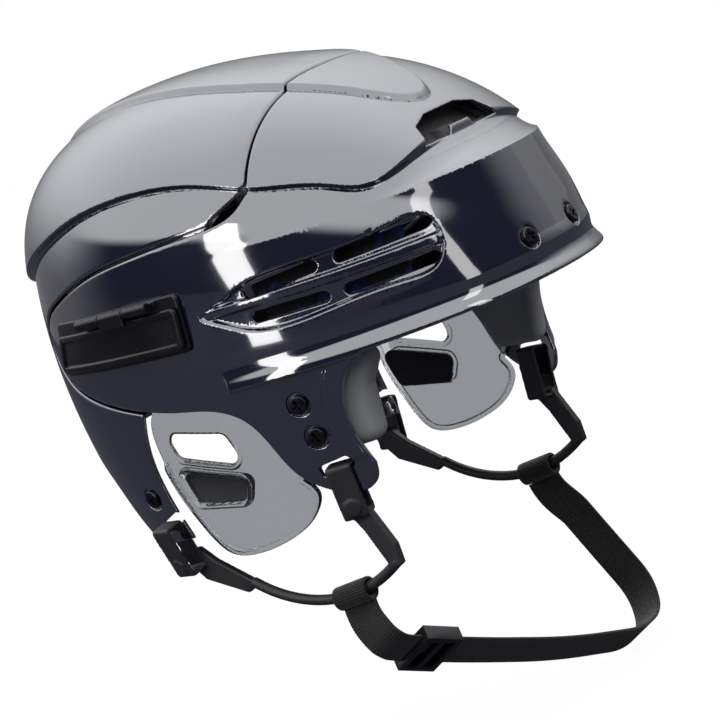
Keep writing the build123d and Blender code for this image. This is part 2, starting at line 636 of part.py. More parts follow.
def strap_curve():
    """The strap's run seen square to its plane, in shares of HEAD."""
    points = STRAP_shares
    radii = []
    for i in range(1, len(points) - 1):
        a, b, c = [Vector(*point) for point in points[i - 1:i + 2]]
        turn = math.radians((b - a).get_angle(c - b))
        radii.append(STRAP_BEND_share * min((b - a).length, (c - b).length) / math.tan(turn / 2))
    return FilletPolyline(*points, radius=radii)


def chin_strap(stations=60):
    """Webbing strap with a sewn loop round each sling's arc."""
    curve = strap_curve()
    places = [strap_place((curve @ (i / stations)).X, (curve @ (i / stations)).Y)
              for i in range(stations + 1)]
    sections = []
    for i, (point, width) in enumerate(places):
        before, after = places[max(i - 1, 0)][0], places[min(i + 1, stations)][0]
        plane = Plane(origin=point, x_dir=width, z_dir=after - before)
        sections.append(plane * Rectangle(WEB_WIDTH, WEB))
    strap = loft(sections, ruled=True)
    for side in (-1, 1):
        point, width = strap_place(side * SLING_SIDE_share, 0)
        outer = SLING_ROD + LOOP_SLACK + WEB
        ring = Cylinder(outer, WEB_WIDTH) - Cylinder(outer - WEB, WEB_WIDTH)
        strap += Plane(origin=point, z_dir=width) * ring
    return strap


def strap_slider():
    """Three-bar slider on the strap's straight run beside the right sling."""
    (xa, da), (xb, db) = STRAP_shares[2], STRAP_shares[3]
    start, end = strap_place(xa, da)[0], strap_place(xb, db)[0]
    middle, width = strap_place(xa + SLIDER_PLACE_share * (xb - xa), da + SLIDER_PLACE_share * (db - da))
    frame = Plane(origin=middle, x_dir=end - start, z_dir=(end - start).cross(width))
    length, across = 5 * SLIDER_WALL + 2 * SLIDER_BAR, WEB_WIDTH + 2 * SLIDER_WALL
    thickness = WEB + 2 * SLIDER_BAR
    body = extrude(RectangleRounded(length, across, SLIDER_WALL), amount=thickness / 2, both=True)
    body -= Box(length * 2, WEB_WIDTH + 2 * SEAT_GAP, WEB + 2 * SEAT_GAP)
    opening = (length - 3 * SLIDER_WALL) / 2
    for side in (-1, 1):
        window = Pos(side * (opening + SLIDER_WALL) / 2, 0, thickness / 2)
        body -= window * Box(opening, WEB_WIDTH, thickness)
    under = Pos(0, 0, -thickness / 2) * Box(length - 2 * SLIDER_WALL, WEB_WIDTH, thickness)
    return frame * (body - under)


def both_sides(solid):
    return Compound(children=[solid, mirrored(solid)])


def write(name, solid):
    export_step(solid, f"parts/{name}.step")


def write_pair(name, solid):
    write(f"{name}_left", solid)
    write(f"{name}_right", mirrored(solid))


write("front_shell", front_shell())
write("rear_shell", rear_shell())
write("brow_screws", both_sides(screw(BROW_SPOT, NUT_GRIP + WALL)))
write("brow_nuts", both_sides(nut(BROW_SPOT, INNER + SEAT_GAP)))
write_pair("side_screws", Compound(children=[screw(spot, SIDE_GRIP) for spot in SIDE_SPOTS]))
write_pair("side_nuts", Compound(children=[nut(spot, GUARD_DEPTH + SEAT_GAP) for spot in SIDE_SPOTS]))
write_pair("rear_screw", screw(REAR_SPOT, NUT_GRIP + SEAT_GAP))
write_pair("rear_nut", nut(REAR_SPOT, INNER + SEAT_GAP))
write_pair("ear_guard", ear_guard())
write_pair("guard_insert", guard_insert())
write_pair("latch_base", latch_base())
write_pair("latch_lever", latch_lever())
write_pair("latch_pin", latch_pin())
write_pair("size_rack", size_rack())
write_pair("temple_pad", temple_pad())
write_pair("vent_pad", vent_pad())
write_pair("side_pad", side_pad(SIDE_PAD_shares, INNER + WALL + SEAT_GAP, PAD, TRAVEL))
write_pair("rear_side_pad", rear_side_pad())
write("brow_pad", brow_pad())
write("nape_pad", end_pad(NAPE_PAD_shares, -OVER))
write("front_crown_pad", front_crown_pad())
write("rear_crown_pad", crown_pad(CROWN_PAD_shares, LOBE_RISE))
write_pair("sling", sling())
write("chin_strap", chin_strap())
write("strap_slider", strap_slider())
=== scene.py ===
# %% [markdown]
# This lesson dresses an ice hockey helmet whose parts, sizes and joints are already fixed.
# It loads them as a frame. Each piece made below takes the place of one of those parts, in
# the same coordinates, and rides on the same moving body.

# %% The frame
import bpy, bmesh, math
import numpy as np
from mathutils import Matrix, Vector


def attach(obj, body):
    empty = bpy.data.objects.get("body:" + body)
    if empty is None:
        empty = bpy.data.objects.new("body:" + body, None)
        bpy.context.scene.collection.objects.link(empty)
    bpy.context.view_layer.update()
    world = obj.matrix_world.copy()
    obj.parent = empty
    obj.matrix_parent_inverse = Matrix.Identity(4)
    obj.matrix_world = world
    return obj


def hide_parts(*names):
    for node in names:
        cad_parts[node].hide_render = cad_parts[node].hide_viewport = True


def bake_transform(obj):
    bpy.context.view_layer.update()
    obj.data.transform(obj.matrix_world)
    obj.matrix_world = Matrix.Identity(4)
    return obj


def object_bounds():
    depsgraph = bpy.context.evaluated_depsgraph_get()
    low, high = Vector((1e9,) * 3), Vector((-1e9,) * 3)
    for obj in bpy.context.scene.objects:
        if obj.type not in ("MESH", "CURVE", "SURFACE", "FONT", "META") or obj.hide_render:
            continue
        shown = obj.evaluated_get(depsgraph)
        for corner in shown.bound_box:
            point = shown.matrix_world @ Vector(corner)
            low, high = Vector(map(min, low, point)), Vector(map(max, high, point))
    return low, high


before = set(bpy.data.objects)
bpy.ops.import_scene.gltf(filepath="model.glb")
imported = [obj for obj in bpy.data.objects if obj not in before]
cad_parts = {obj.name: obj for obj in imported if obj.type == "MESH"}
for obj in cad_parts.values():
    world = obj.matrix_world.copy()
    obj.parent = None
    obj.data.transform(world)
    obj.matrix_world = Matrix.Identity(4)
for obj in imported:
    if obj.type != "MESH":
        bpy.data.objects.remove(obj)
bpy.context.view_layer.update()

# %% [markdown]
# The helmet's two shells share one dome: a superellipse in plan whose size shrinks towards
# the crown. It could be pushed and pulled out of a sphere, but the shells must lie exactly
# one over the other. The field below tells, for any point, how far outside the dome it is.
# It tries a smaller dome and a larger one, and halves the gap until the point lies on it.

# %% The dome as a field
MM = 0.001
TILT = math.radians(13)
HALF_WIDTH, FRONT_REACH, REAR_REACH, HEIGHT = 106, 131, 142, 86
SQUARENESS, SKIRT = 2.45, 110
SIDE_CURVE, FRONT_CURVE, REAR_CURVE = 2.4, 1.75, 2.55


def plan_value(x, y, z, off):
    """Below 0 inside the dome grown by off, above 0 outside it."""
    up = np.clip(z / (HEIGHT + off), 0, 0.99999)
    down = np.clip(-z / SKIRT, 0, None)
    width = (HALF_WIDTH + off) * (1 - up ** SIDE_CURVE) ** (1 / SIDE_CURVE) * (1 - 0.06 * down ** 2)
    front = (FRONT_REACH + off) * (1 - up ** FRONT_CURVE) ** (1 / FRONT_CURVE)
    rear = (REAR_REACH + off) * (1 - up ** REAR_CURVE) ** (1 / REAR_CURVE) * (1 - 0.22 * down ** 2)
    reach = np.maximum(np.where(y > 0, rear, front), 1e-3)
    across = np.abs(x) / (1 + 0.05 * y / REAR_REACH)
    return (across / np.maximum(width, 1e-3)) ** SQUARENESS + (np.abs(y) / reach) ** SQUARENESS - 1


def dome_field(p, drawn=0.0):
    """Millimetres outside the dome, for points (n, 3); drawn slides its back forwards."""
    y = p[:, 1] * math.cos(TILT) + p[:, 2] * math.sin(TILT)
    z = p[:, 2] * math.cos(TILT) - p[:, 1] * math.sin(TILT)
    if drawn:
        y = np.where(y > drawn, y + drawn, np.where(y > 0, 2 * y, y))
    x = p[:, 0]
    low = np.maximum(z - HEIGHT + 0.02, -45)
    high = np.full_like(low, 45.0)
    value_low, value_high = plan_value(x, y, z, low), plan_value(x, y, z, high)
    for i in range(14):
        if i % 3 == 2:
            share = value_low / np.where(value_low == value_high, 1, value_low - value_high)
            middle = low + (high - low) * np.clip(share, 0.02, 0.98)
        else:
            middle = (low + high) / 2
        value = plan_value(x, y, z, middle)
        outside = value > 0
        low, value_low = np.where(outside, middle, low), np.where(outside, value, value_low)
        high, value_high = np.where(outside, high, middle), np.where(outside, value_high, value)
    share = value_low / np.where(value_low == value_high, 1, value_low - value_high)
    return low + (high - low) * np.clip(share, 0, 1)


print("30 mm beside the dome reads", dome_field(np.array([[136.0, 0, 0]])).round(1)[0])

# %% [markdown]
# The lines on the helmet are drawn in the side view as listed points. A cubic spline
# passes through them without a kink, and straight runs and bends can be joined into one
# closed outline.

# %% Smooth lines
def smooth_curve(points, closed=False, steps=14):
    """Points along a cubic spline through given points."""
    pts = np.array(points, float)
    if closed:
        pts = np.vstack([pts[-3:], pts, pts[:3]])
    gaps = np.linalg.norm(np.diff(pts, axis=0), axis=1)
    t = np.concatenate([[0], np.cumsum(gaps)])
    n = len(pts)
    system, right = np.zeros((n, n)), np.zeros((n, pts.shape[1]))
    system[0, 0] = system[-1, -1] = 1
    for i in range(1, n - 1):
        a, b = gaps[i - 1], gaps[i]
        system[i, i - 1:i + 2] = a, 2 * (a + b), b
        right[i] = 6 * ((pts[i + 1] - pts[i]) / b - (pts[i] - pts[i - 1]) / a)
    bend = np.linalg.solve(system, right)
    out = []
    for i in range(3, n - 3) if closed else range(n - 1):
        h = gaps[i]
        for s in np.arange(steps) / steps:
            u = s * h
            out.append(bend[i] * (h - u) ** 3 / (6 * h) + bend[i + 1] * u ** 3 / (6 * h)
                       + (pts[i] / h - bend[i] * h / 6) * (h - u)
                       + (pts[i + 1] / h - bend[i + 1] * h / 6) * u)
    if not closed:
        out.append(pts[-1])
    return np.array(out)


def run_outline(runs):
    """One closed outline from straight runs and smooth bends that meet end to end."""
    parts = []
    for kind, points in runs:
        parts.append(np.array(points, float) if kind == "line" else smooth_curve(points))
    return np.vstack([part[:-1] for part in parts])


print("a spline through 3 points has", len(smooth_curve([(0, 0), (1, 1), (2, 0)])), "points")

# %% [markdown]
# To cut a shell along an outline, each point has to know how far it is from that line. The
# distance is worked out once on a lattice, and then read from it for any number of points.

# %% Distance to an outline
class Outline:
    """Signed distance to a closed outline in a plane, tabled on a 1 mm lattice."""

    def __init__(self, points, step=1.0, room=14):
        pts = np.array(points, float)
        self.low = np.floor(pts.min(0) - room)
        size = np.ceil((pts.max(0) + room - self.low) / step).astype(int) + 1
        self.step, self.size = step, size
        u, v = np.meshgrid(*[self.low[i] + step * np.arange(size[i]) for i in (0, 1)], indexing="ij")
        best = np.full(u.shape, 1e9)
        inside = np.zeros(u.shape, bool)
        for a, b in zip(pts, np.roll(pts, -1, 0)):
            d = b - a
            length = max(d @ d, 1e-12)
            t = np.clip(((u - a[0]) * d[0] + (v - a[1]) * d[1]) / length, 0, 1)
            best = np.minimum(best, (u - a[0] - t * d[0]) ** 2 + (v - a[1] - t * d[1]) ** 2)
            if a[1] != b[1]:
                crosses = (a[1] > v) != (b[1] > v)
                inside ^= crosses & (u < a[0] + (v - a[1]) * d[0] / (b[1] - a[1]))
        self.table = np.where(inside, -1, 1) * np.sqrt(best)

    def __call__(self, u, v):
        s = np.clip((u - self.low[0]) / self.step, 0, self.size[0] - 1.001)
        t = np.clip((v - self.low[1]) / self.step, 0, self.size[1] - 1.001)
        i, j = s.astype(int), t.astype(int)
        s, t = s - i, t - j
        f = self.table
        return ((f[i, j] * (1 - s) + f[i + 1, j] * s) * (1 - t)
                + (f[i, j + 1] * (1 - s) + f[i + 1, j + 1] * s) * t)


square = Outline([(0, 0), (9, 0), (9, 9), (0, 9)])
print("a square's middle is", square(np.array([4.5]), np.array([4.5])).round(1)[0], "mm from its edge")

# %% [markdown]
# A shape with straight sides gets round corners in two steps: its sides move inwards by the
# radius, and the distance to that smaller shape is then lowered by the same radius.

# %% Rounded corners
def rounded_outline(points, radius):
    """Distance to an outline with straight sides and rounded corners."""
    pts = np.array(points, float)
    area = np.sum(pts[:, 0] * np.roll(pts[:, 1], -1) - np.roll(pts[:, 0], -1) * pts[:, 1])
    moved = []
    for i in range(len(pts)):
        a, b = pts[i] - pts[i - 1], pts[(i + 1) % len(pts)] - pts[i]
        a, b = a / np.linalg.norm(a), b / np.linalg.norm(b)
        side = np.array([-a[1] - b[1], a[0] + b[0]]) / (1 + a @ b)
        moved.append(pts[i] + side * radius * np.sign(area))
    core = Outline(moved, step=0.5)
    return lambda u, v: core(u, v) - radius


print("a rounded square's corner is", rounded_outline([(0, 0), (9, 0), (9, 9), (0, 9)], 3)(
    np.array([9.0]), np.array([9.0])).round(1)[0], "mm inside its sharp one")

# %% [markdown]
# Two fields are joined by their smaller value and cut by their larger one. Letting the two
# blend over a few millimetres gives the small radius that every moulded edge has.

# %% Soft joins and flanks
def rounded_max(a, b, k):
    """The larger of two fields, blended over k millimetres: the first cut by the second."""
    h = np.maximum(k - np.abs(a - b), 0) / k
    return np.maximum(a, b) + h * h * k / 4


def rounded_min(a, b, k):
    """The smaller of two fields, blended over k millimetres: the two joined."""
    return -rounded_max(-a, -b, k)


def rise(distance, width):
    """1 well inside an outline, 0 outside, with a soft flank of that width."""
    t = np.clip(0.5 - distance / width, 0, 1)
    return t * t * (3 - 2 * t)


print("halfway up a flank the rise is", rise(np.array([0.0]), 3.0)[0])

# %% [markdown]
# These are the lines that a person would draw on the helmet's side: where the front shell
# ends, where the rear shell ends, the raised crown lobes and the sunk vent pocket. The
# ridge is drawn from above and the central vent from the front.

# %% Outlines in the side plane, as (y, z) in millimetres
FRONT = Outline(run_outline([
    ("line", [(-40, 130), (-170, 130), (-170, -41), (-78, -42)]),
    ("bend", [(-78, -42), (-64, -45), (-55, -54), (-50, -72), (-53, -94)]),
    ("bend", [(-53, -94), (-50.5, -102), (-42, -106), (-30, -102), (-16, -90), (-9, -74), (-1, -59),
              (12, -51), (34, -46.5), (60, -40.5), (86, -31.5), (106, -20), (115, -5), (110, 8),
              (93, 17), (64, 25.5), (34, 29.5), (6, 31.2), (-17, 32.2), (-31, 36), (-40, 46)]),
    ("line", [(-40, 46), (-40, 130)])]))
REAR = Outline(run_outline([
    ("line", [(-58, 130), (-58, 54), (-20, 36), (6, 16), (6, -12), (44, -26), (55, -42)]),
    ("bend", [(55, -42), (61.5, -60), (62.5, -80), (57, -108)]),
    ("line", [(57, -108), (84, -110)]),
    ("bend", [(84, -110), (96, -93), (108, -72), (124, -60), (145, -55.5), (180, -55)]),
    ("line", [(180, -55), (180, 130), (-58, 130)])]))
LOBES = Outline(smooth_curve([(-140, 130), (-95, 50), (-102, 36), (-95, 28), (-75, 33), (-41, 43),
                              (-12, 52), (34, 57), (61, 54), (86, 47), (115, 36), (170, 16),
                              (175, 130), (20, 150)], closed=True))
RECESS = Outline(smooth_curve([(0, -5.5), (-12, -1.5), (-24, 2.6), (-60, 5.6), (-95, 7.4),
                               (-105, 7.0), (-109, 0), (-110, -10), (-107, -16.5), (-95, -18),
                               (-62, -19), (-22, -17.5), (-10, -12)], closed=True))
RIDGES = Outline(smooth_curve([(0, -88), (10, -85.5), (19, -77), (27, -63), (37, -40), (39, -5),
                               (36, 40), (29, 85), (15, 117), (0, 124), (-15, 117), (-29, 85),
                               (-36, 40), (-39, -5), (-37, -40), (-27, -63), (-19, -77), (-10, -85.5)],
                              closed=True))
VENT = Outline([(-33, 33.5), (-11, 33.5), (-8, 37.5), (8, 37.5), (11, 33.5), (33, 33.5), (27, 42.5),
                (14, 46), (-14, 46), (-27, 42.5)], step=0.5)
SLOTS = [((-27, -1), (-60, 1.5)), ((-73, 2), (-104, 3)), ((-27, -13), (-61, -13.5)),
         ((-73, -13.5), (-105, -13))]
BAR = ((-3, -5.7), (-109, -5.5))
print("front shell's outline spans", FRONT.size, "lattice points")

# %% [markdown]
# The brow block is described by levels: at each height, how far forward it reaches and how
# wide it is. The lowest levels draw in and out again, which makes the flared lip.

# %% The brow's levels, as (height, front, width)
BROW_LIP = smooth_curve([(-43, 136, 107.5), (-40, 135.4, 107.1), (-36.5, 133.4, 105.8),
                         (-33, 132.2, 104.8), (-29, 132.8, 104.7), (-22, 131.6, 104.3)])
BROW_LEVELS = [tuple(level) for level in BROW_LIP] + [(19.5, 122, 101), (27.5, 105, 93)]
print(len(BROW_LEVELS), "levels")

# %% [markdown]
# The slots, windows and strap holes are simple shapes, so their distances are short
# formulas: a rounded slot between two ends, and a block with rounded corners.

# %% Slots and blocks
def capsule_distance(y, z, ends, width):
    """Distance to a slot of this width with round ends."""
    a, b = np.array(ends[0], float), np.array(ends[1], float)
    d = b - a
    t = np.clip(((y - a[0]) * d[0] + (z - a[1]) * d[1]) / (d @ d), 0, 1)
    return np.hypot(y - a[0] - t * d[0], z - a[1] - t * d[1]) - width / 2


def block_distance(u, v, centre, size, turn=0.0, corner=1.0):
    """Distance to a rectangle with rounded corners, turned about its middle."""
    c, s = math.cos(turn), math.sin(turn)
    a, b = u - centre[0], v - centre[1]
    a, b = np.abs(a * c + b * s) - size[0] / 2 + corner, np.abs(b * c - a * s) - size[1] / 2 + corner
    return np.hypot(np.maximum(a, 0), np.maximum(b, 0)) + np.minimum(np.maximum(a, b), 0) - corner


print("5 mm from a 4 mm block's middle:", block_distance(5.0, 0.0, (0, 0), (4, 4)), "mm outside")

# %% [markdown]
# The brow's field reads its levels like a table: at a point's height it looks up how far the
# front reaches and how wide the brow is, and how much its face leans there.

# %% The brow as a field
def brow_field(p):
    """Millimetres outside the brow block, with its flat ledge on top and flared lip below."""
    heights, fronts, widths = np.array(BROW_LEVELS, float).T
    z = np.clip(p[:, 2], heights[0], heights[-1])
    front, width = np.interp(z, heights, fronts), np.interp(z, heights, widths)
    lean = np.interp(z, (heights[1:] + heights[:-1]) / 2, np.diff(fronts) / np.diff(heights))
    q = ((np.abs(p[:, 0]) / width) ** 2.25 + (np.abs(p[:, 1]) / front) ** 2.25) ** (1 / 2.25)
    r = np.hypot(p[:, 0], p[:, 1])
    side = (r - r / np.maximum(q, 1e-3)) / np.sqrt(1 + lean ** 2)
    flat = np.maximum(p[:, 2] - heights[-1], heights[0] - p[:, 2])
    return rounded_max(rounded_max(side, flat, 1.2), p[:, 1], 2.0)


print("the brow's front is at", brow_field(np.array([[0, -200.0, 0]])).round()[0], "mm from y -200")

# %% [markdown]
# The shells could be modelled as patches by hand, but their lobes, ridge and pockets run
# into each other, and a gloss surface shows every ripple. A field gives one exact surface.
# It is turned into a mesh on a lattice, which is only worked out near the surface.

# %% The lattice
def lattice(low, high, step):
    """The lattice's coordinates along each axis, and how many there are."""
    count = np.ceil((np.array(high) - low) / step).astype(int) + 1
    axes = [low[i] + step * np.arange(count[i]) for i in range(3)]
    return axes, count


print("a 10 mm cube takes", lattice((0, 0, 0), (10, 10, 10), 2.0)[1].prod(), "lattice points at 2 mm")

# %% [markdown]
# A coarse look comes first: blocks of the lattice whose middle lies far from the surface are
# skipped, and the field is worked out in the others only.

# %% The field on the lattice
def field_lattice(field, low, high, step, block=4):
    """The field on a lattice, worked out only in blocks that its surface may cross."""
    axes, count = lattice(low, high, step)
    centres = [axis[::block] + (block - 1) / 2 * step for axis in axes]
    grid = np.stack(np.meshgrid(*centres, indexing="ij"), -1).reshape(-1, 3)
    reach = math.sqrt(3) / 2 * (block + 1) * step + 2.6
    keep = (np.abs(field(grid)) < reach).reshape([len(c) for c in centres])
    mask = keep[np.ix_(*[np.arange(n) // block for n in count])]
    values = np.full(count, 9.0)
    spots = np.argwhere(mask)
    values[mask] = field(np.stack([axes[i][spots[:, i]] for i in range(3)], -1))
    return values, np.array([axis[0] for axis in axes])


tried = field_lattice(dome_field, np.array([100.0, 0, 0]), np.array([112.0, 12, 12]), 2.0)
print("lattice", tried[0].shape, "with", int((tried[0] < 0).sum()), "points inside the dome")

# %% [markdown]
# Surface nets make the mesh: each lattice cell that the surface crosses gets one point, and
# each crossed lattice edge gets one quad that joins the four cells around it.

# %% Surface nets
def surface_net(values, low, step):
    """Points and quads where the lattice's values change sign."""
    inside = values < 0
    count = np.zeros(np.array(inside.shape) - 1, int)
    corners = [(i, j, k) for i in (0, 1) for j in (0, 1) for k in (0, 1)]
    cut = lambda a, c: a[tuple(slice(c[i], a.shape[i] - 1 + c[i]) for i in range(3))]
    for c in corners:
        count += cut(inside, c)
    active = (count > 0) & (count < 8)
    number = np.full(active.shape, -1)
    number[active] = np.arange(active.sum())
    total, hits = np.zeros((active.sum(), 3)), np.zeros(active.sum())
    for axis in range(3):
        for c in corners:
            if c[axis]:
                continue
            d = list(c)
            d[axis] = 1
            a, b = cut(values, c)[active], cut(values, d)[active]
            crosses = (a < 0) != (b < 0)
            t = np.where(crosses, a / np.where(a == b, 1, a - b), 0)
            place = np.tile(np.array(c, float), (len(a), 1))
            place[:, axis] += t
            total += place * crosses[:, None]
            hits += crosses
    points = low + step * (np.argwhere(active) + total / hits[:, None])
    quads = []
    for axis in range(3):
        u, v = (axis + 1) % 3, (axis + 2) % 3
        size = np.array(inside.shape)
        first = [slice(1, size[i] - 1) for i in range(3)]
        first[axis] = slice(0, size[axis] - 1)
        second = list(first)
        second[axis] = slice(1, size[axis])
        a, b = inside[tuple(first)], inside[tuple(second)]
        for wanted, flip in ((a & ~b, False), (~a & b, True)):
            spots = np.argwhere(wanted) + [s.start for s in first]
            ring = []
            for du, dv in ((-1, -1), (0, -1), (0, 0), (-1, 0)):
                cell = spots.copy()
                cell[:, u] += du
                cell[:, v] += dv
                ring.append(number[cell[:, 0], cell[:, 1], cell[:, 2]])
            quad = np.stack(ring, -1)
            quads.append(quad[:, ::-1] if flip else quad)
    return points, np.vstack(quads)


ball = np.linalg.norm(np.indices((9, 9, 9)).reshape(3, -1) - 4.0, axis=0).reshape(9, 9, 9) - 3
print("a small ball has", len(surface_net(ball, np.zeros(3), 1.0)[1]), "quads")

# %% [markdown]
# The net's points lie near the surface, not on it. The field's slope says which way the
# surface is and how far, so a few steps along it put each point exactly in place.

# %% Settling on the surface
def unit(vectors):
    """The same directions, all of length 1."""
    return vectors / np.maximum(np.linalg.norm(vectors, axis=-1), 1e-9)[..., None]


def slope(field, points, size=0.5):
    """How the field changes along x, y and z, from points on both sides."""
    g = np.zeros_like(points)
    for axis in range(3):
        d = np.zeros(3)
        d[axis] = size
        g[:, axis] = (field(points + d) - field(points - d)) / (2 * size)
    return g


def settle(field, points, rounds, reach):
    """Move points along the slope onto the surface, no further than reach."""
    start = points.copy()
    for _ in range(rounds):
        value = field(points)
        g = np.zeros_like(points)
        for axis in range(3):
            d = np.zeros(3)
            d[axis] = 0.08
            g[:, axis] = (field(points + d) - value) / 0.08
        points = points - g * (value / np.maximum((g * g).sum(1), 0.05))[:, None]
        away = points - start
        far = np.linalg.norm(away, axis=1)
        points = start + away * np.minimum(1, reach / np.maximum(far, 1e-9))[:, None]
    return points


settled = settle(dome_field, np.array([[108.0, 0, 0]]), rounds=2, reach=5)
print("a point 108 mm from the middle settles at", settled.round(1)[0].tolist())

# %% [markdown]
# Where two faces meet in an edge, the points beside it are drawn onto the edge itself: each
# goes to where its neighbours' planes meet. Without this a moulded edge looks sawn.

# %% Drawing the creases
def sharpened(field, points, faces, reach):
    """Draw points onto the creases: each goes to where its neighbours' planes meet."""
    normals = unit(slope(field, points, 0.08))
    pairs = np.vstack([faces[:, [i, i - 1]] for i in range(faces.shape[1])])
    own, near = np.vstack([pairs, pairs[:, ::-1]]).T
    n, away = normals[near], points[near] - points[own]
    height = (n * away).sum(1)
    total = lambda values: np.bincount(own, values, len(points))
    creased = total(1.0 * ((n * normals[own]).sum(1) < 0.95)) > 0
    matrix = np.array([[total(n[:, i] * n[:, j]) for j in range(3)] for i in range(3)])
    matrix = np.moveaxis(matrix, 2, 0) + normals[:, :, None] * normals[:, None, :] + 0.2 * np.eye(3)
    right = np.stack([total(n[:, i] * height) for i in range(3)], 1)
    step = np.linalg.solve(matrix, right[:, :, None])[:, :, 0] * creased[:, None]
    far = np.linalg.norm(step, axis=1)
    return points + step * np.minimum(1, reach / np.maximum(far, 1e-9))[:, None]


moved = sharpened(dome_field, *surface_net(*tried, 2.0), 1.0)
print("drawing the creases keeps all", len(moved), "points")

# %% [markdown]
# Gloss is judged by its reflections, so the shading normals come from the field's own slope.
# Beside an edge each face reads the slope on its own side, which keeps the edge crisp.

# %% Normals from the field
def corner_normals(field, points, faces):
    """One normal for each face corner, read on the face's own side of any crease."""
    normals = unit(slope(field, points))[faces]
    bent = (normals * normals.mean(1, keepdims=True)).sum(2).min(1) < 0.99
    spots = points[faces[bent]]
    spots = spots + 0.3 * (spots.mean(1, keepdims=True) - spots)
    normals[bent] = unit(slope(field, spots.reshape(-1, 3), 0.25)).reshape(spots.shape)
    ends = points[faces[:, 1]] - points[faces[:, 0]], points[faces[:, -1]] - points[faces[:, 0]]
    flat = np.broadcast_to(unit(np.cross(*ends))[:, None], normals.shape)
    wrong = (normals * flat).sum(2) < 0.55
    normals[wrong] = flat[wrong]
    return normals.reshape(-1, 3)


read = corner_normals(dome_field, *surface_net(*tried, 2.0))
print("a normal on the dome's left side:", read[0].round(2))

# %% [markdown]
# Blender's own objects come last. One helper makes an object, and two more select a single
# piece and apply a modifier to it, as a person would with the mouse.

# %% Making objects
def mesh_piece(name, points, faces, normals=None):
    """A mesh object from points in millimetres, with one normal for each face corner."""
    mesh = bpy.data.meshes.new(name)
    mesh.from_pydata((points * MM).tolist(), [], faces.tolist())
    mesh.polygons.foreach_set("use_smooth", [True] * len(mesh.polygons))
    mesh.update()
    if normals is not None:
        mesh.normals_split_custom_set(normals.tolist())
    piece = bpy.data.objects.new(name, mesh)
    bpy.context.collection.objects.link(piece)
    return piece


def only(piece):
    """Select this piece alone, because an operator acts on all that is selected."""
    bpy.ops.object.select_all(action="DESELECT")
    piece.select_set(True)
    bpy.context.view_layer.objects.active = piece


def apply_modifier(piece, kind, **settings):
    """Add a modifier with its settings and make its result the piece's own mesh."""
    only(piece)
    modifier = piece.modifiers.new(kind.lower(), kind)
    for key, value in settings.items():
        setattr(modifier, key, value)
    bpy.ops.object.modifier_apply(modifier=modifier.name)


# %% [markdown]
# A lattice mesh is as dense on flat stretches as at the edges. The Decimate modifier takes
# faces away where the surface is smooth and leaves the edges alone.

# %% From field to piece
def thinned(points, quads, share):
    """The mesh with fewer faces: dense at the creases, sparse where it is smooth."""
    rough = mesh_piece("rough", points, quads)
    apply_modifier(rough, "DECIMATE", ratio=share, use_collapse_triangulate=True)
    count = len(rough.data.vertices)
    spots = np.zeros(count * 3)
    rough.data.vertices.foreach_get("co", spots)
    faces = np.zeros(len(rough.data.polygons) * 3, int)
    rough.data.polygons.foreach_get("vertices", faces)
    bpy.data.objects.remove(rough)
    return spots.reshape(-1, 3) / MM, faces.reshape(-1, 3)


def field_piece(name, field, low, high, step, rounds=2, share=None):
    """A piece whose surface is where the field is zero."""
    values, corner = field_lattice(field, np.array(low, float), np.array(high, float), step)
    points, faces = surface_net(values, corner, step)
    points = settle(field, points, rounds, 0.6 * step)
    points = settle(field, sharpened(field, points, faces, 0.5 * step), 1, 0.2 * step)
    if share:
        points, faces = thinned(points, faces, share)
    print(name, len(points), "points", len(faces), "faces")
    return mesh_piece(name, points, faces, corner_normals(field, points, faces))


STEP, SHARE = ((1.0, 0.42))
print("shells meshed at", STEP, "mm")

# %% [markdown]
# The front shell is one moulding. Its brow block stands out of the dome, its crown lobes
# and centre ridge are raised, and the side vents lie in a sunk pocket. Each of these is a
# rise or a dip of the same field, so the edges between them stay softly rounded as
# moulded edges are. The walls are 3 mm thick and the seam between the shells is 1.2 mm
# wide. What runs under the front shell starts 3.3 mm below the dome, the clear guards end
# 5.3 mm below it, and the rear shell slides over 10 mm.

# %% Walls, gaps and the raised crown
WALL, INNER, GUARD, SEAM, TRAVEL = 3.0, 3.3, 5.3, 1.2, 10.0
LOBE, LOBE_FLANK = 3.5, 3.0
RIDGE, RIDGE_FLANK = 6.0, 5.0


def raised(p):
    """How far the crown lobes and the centre ridge stand proud of the dome."""
    lobes = LOBE * rise(LOBES(p[:, 1], p[:, 2]), LOBE_FLANK)
    ridge = RIDGE * rise(RIDGES(p[:, 0], p[:, 1]), RIDGE_FLANK) * (p[:, 2] > 20)
    return np.maximum(lobes, ridge)


print("the ridge stands", raised(np.array([[0, 0, 90.0]]))[0], "mm proud at the crown")

# %% [markdown]
# The screws sit in round pockets. Each pocket needs the point of the shell where its middle
# is, and the direction straight out of the shell there.

# %% Screw pockets
def spot_frame(y, z, block=False):
    """Point and outward normal of the shell on the wearer's left, or of the brow."""
    field = brow_field if block else dome_field
    if block:
        line = np.array([[y, -150 + 0.25 * i, z] for i in range(240)])
    else:
        line = np.array([[125 - 0.25 * i, y, z] for i in range(280)])
    value = field(line)
    i = int(np.argmax(value < 0))
    t = value[i - 1] / (value[i - 1] - value[i])
    point = line[i - 1] + t * (line[i] - line[i - 1])
    normal = slope(field, point[None, :], 1.0)[0]
    return point, normal / np.linalg.norm(normal)


BROW_SPOT = spot_frame(20.5, -21.5, True)
SIDE_SPOTS = [spot_frame(-31, -57.5), spot_frame(-33, -74.5)]
REAR_SPOT = spot_frame(74, -85)
POCKET_RADIUS, POCKET_DEPTH = 5.9, 1.3


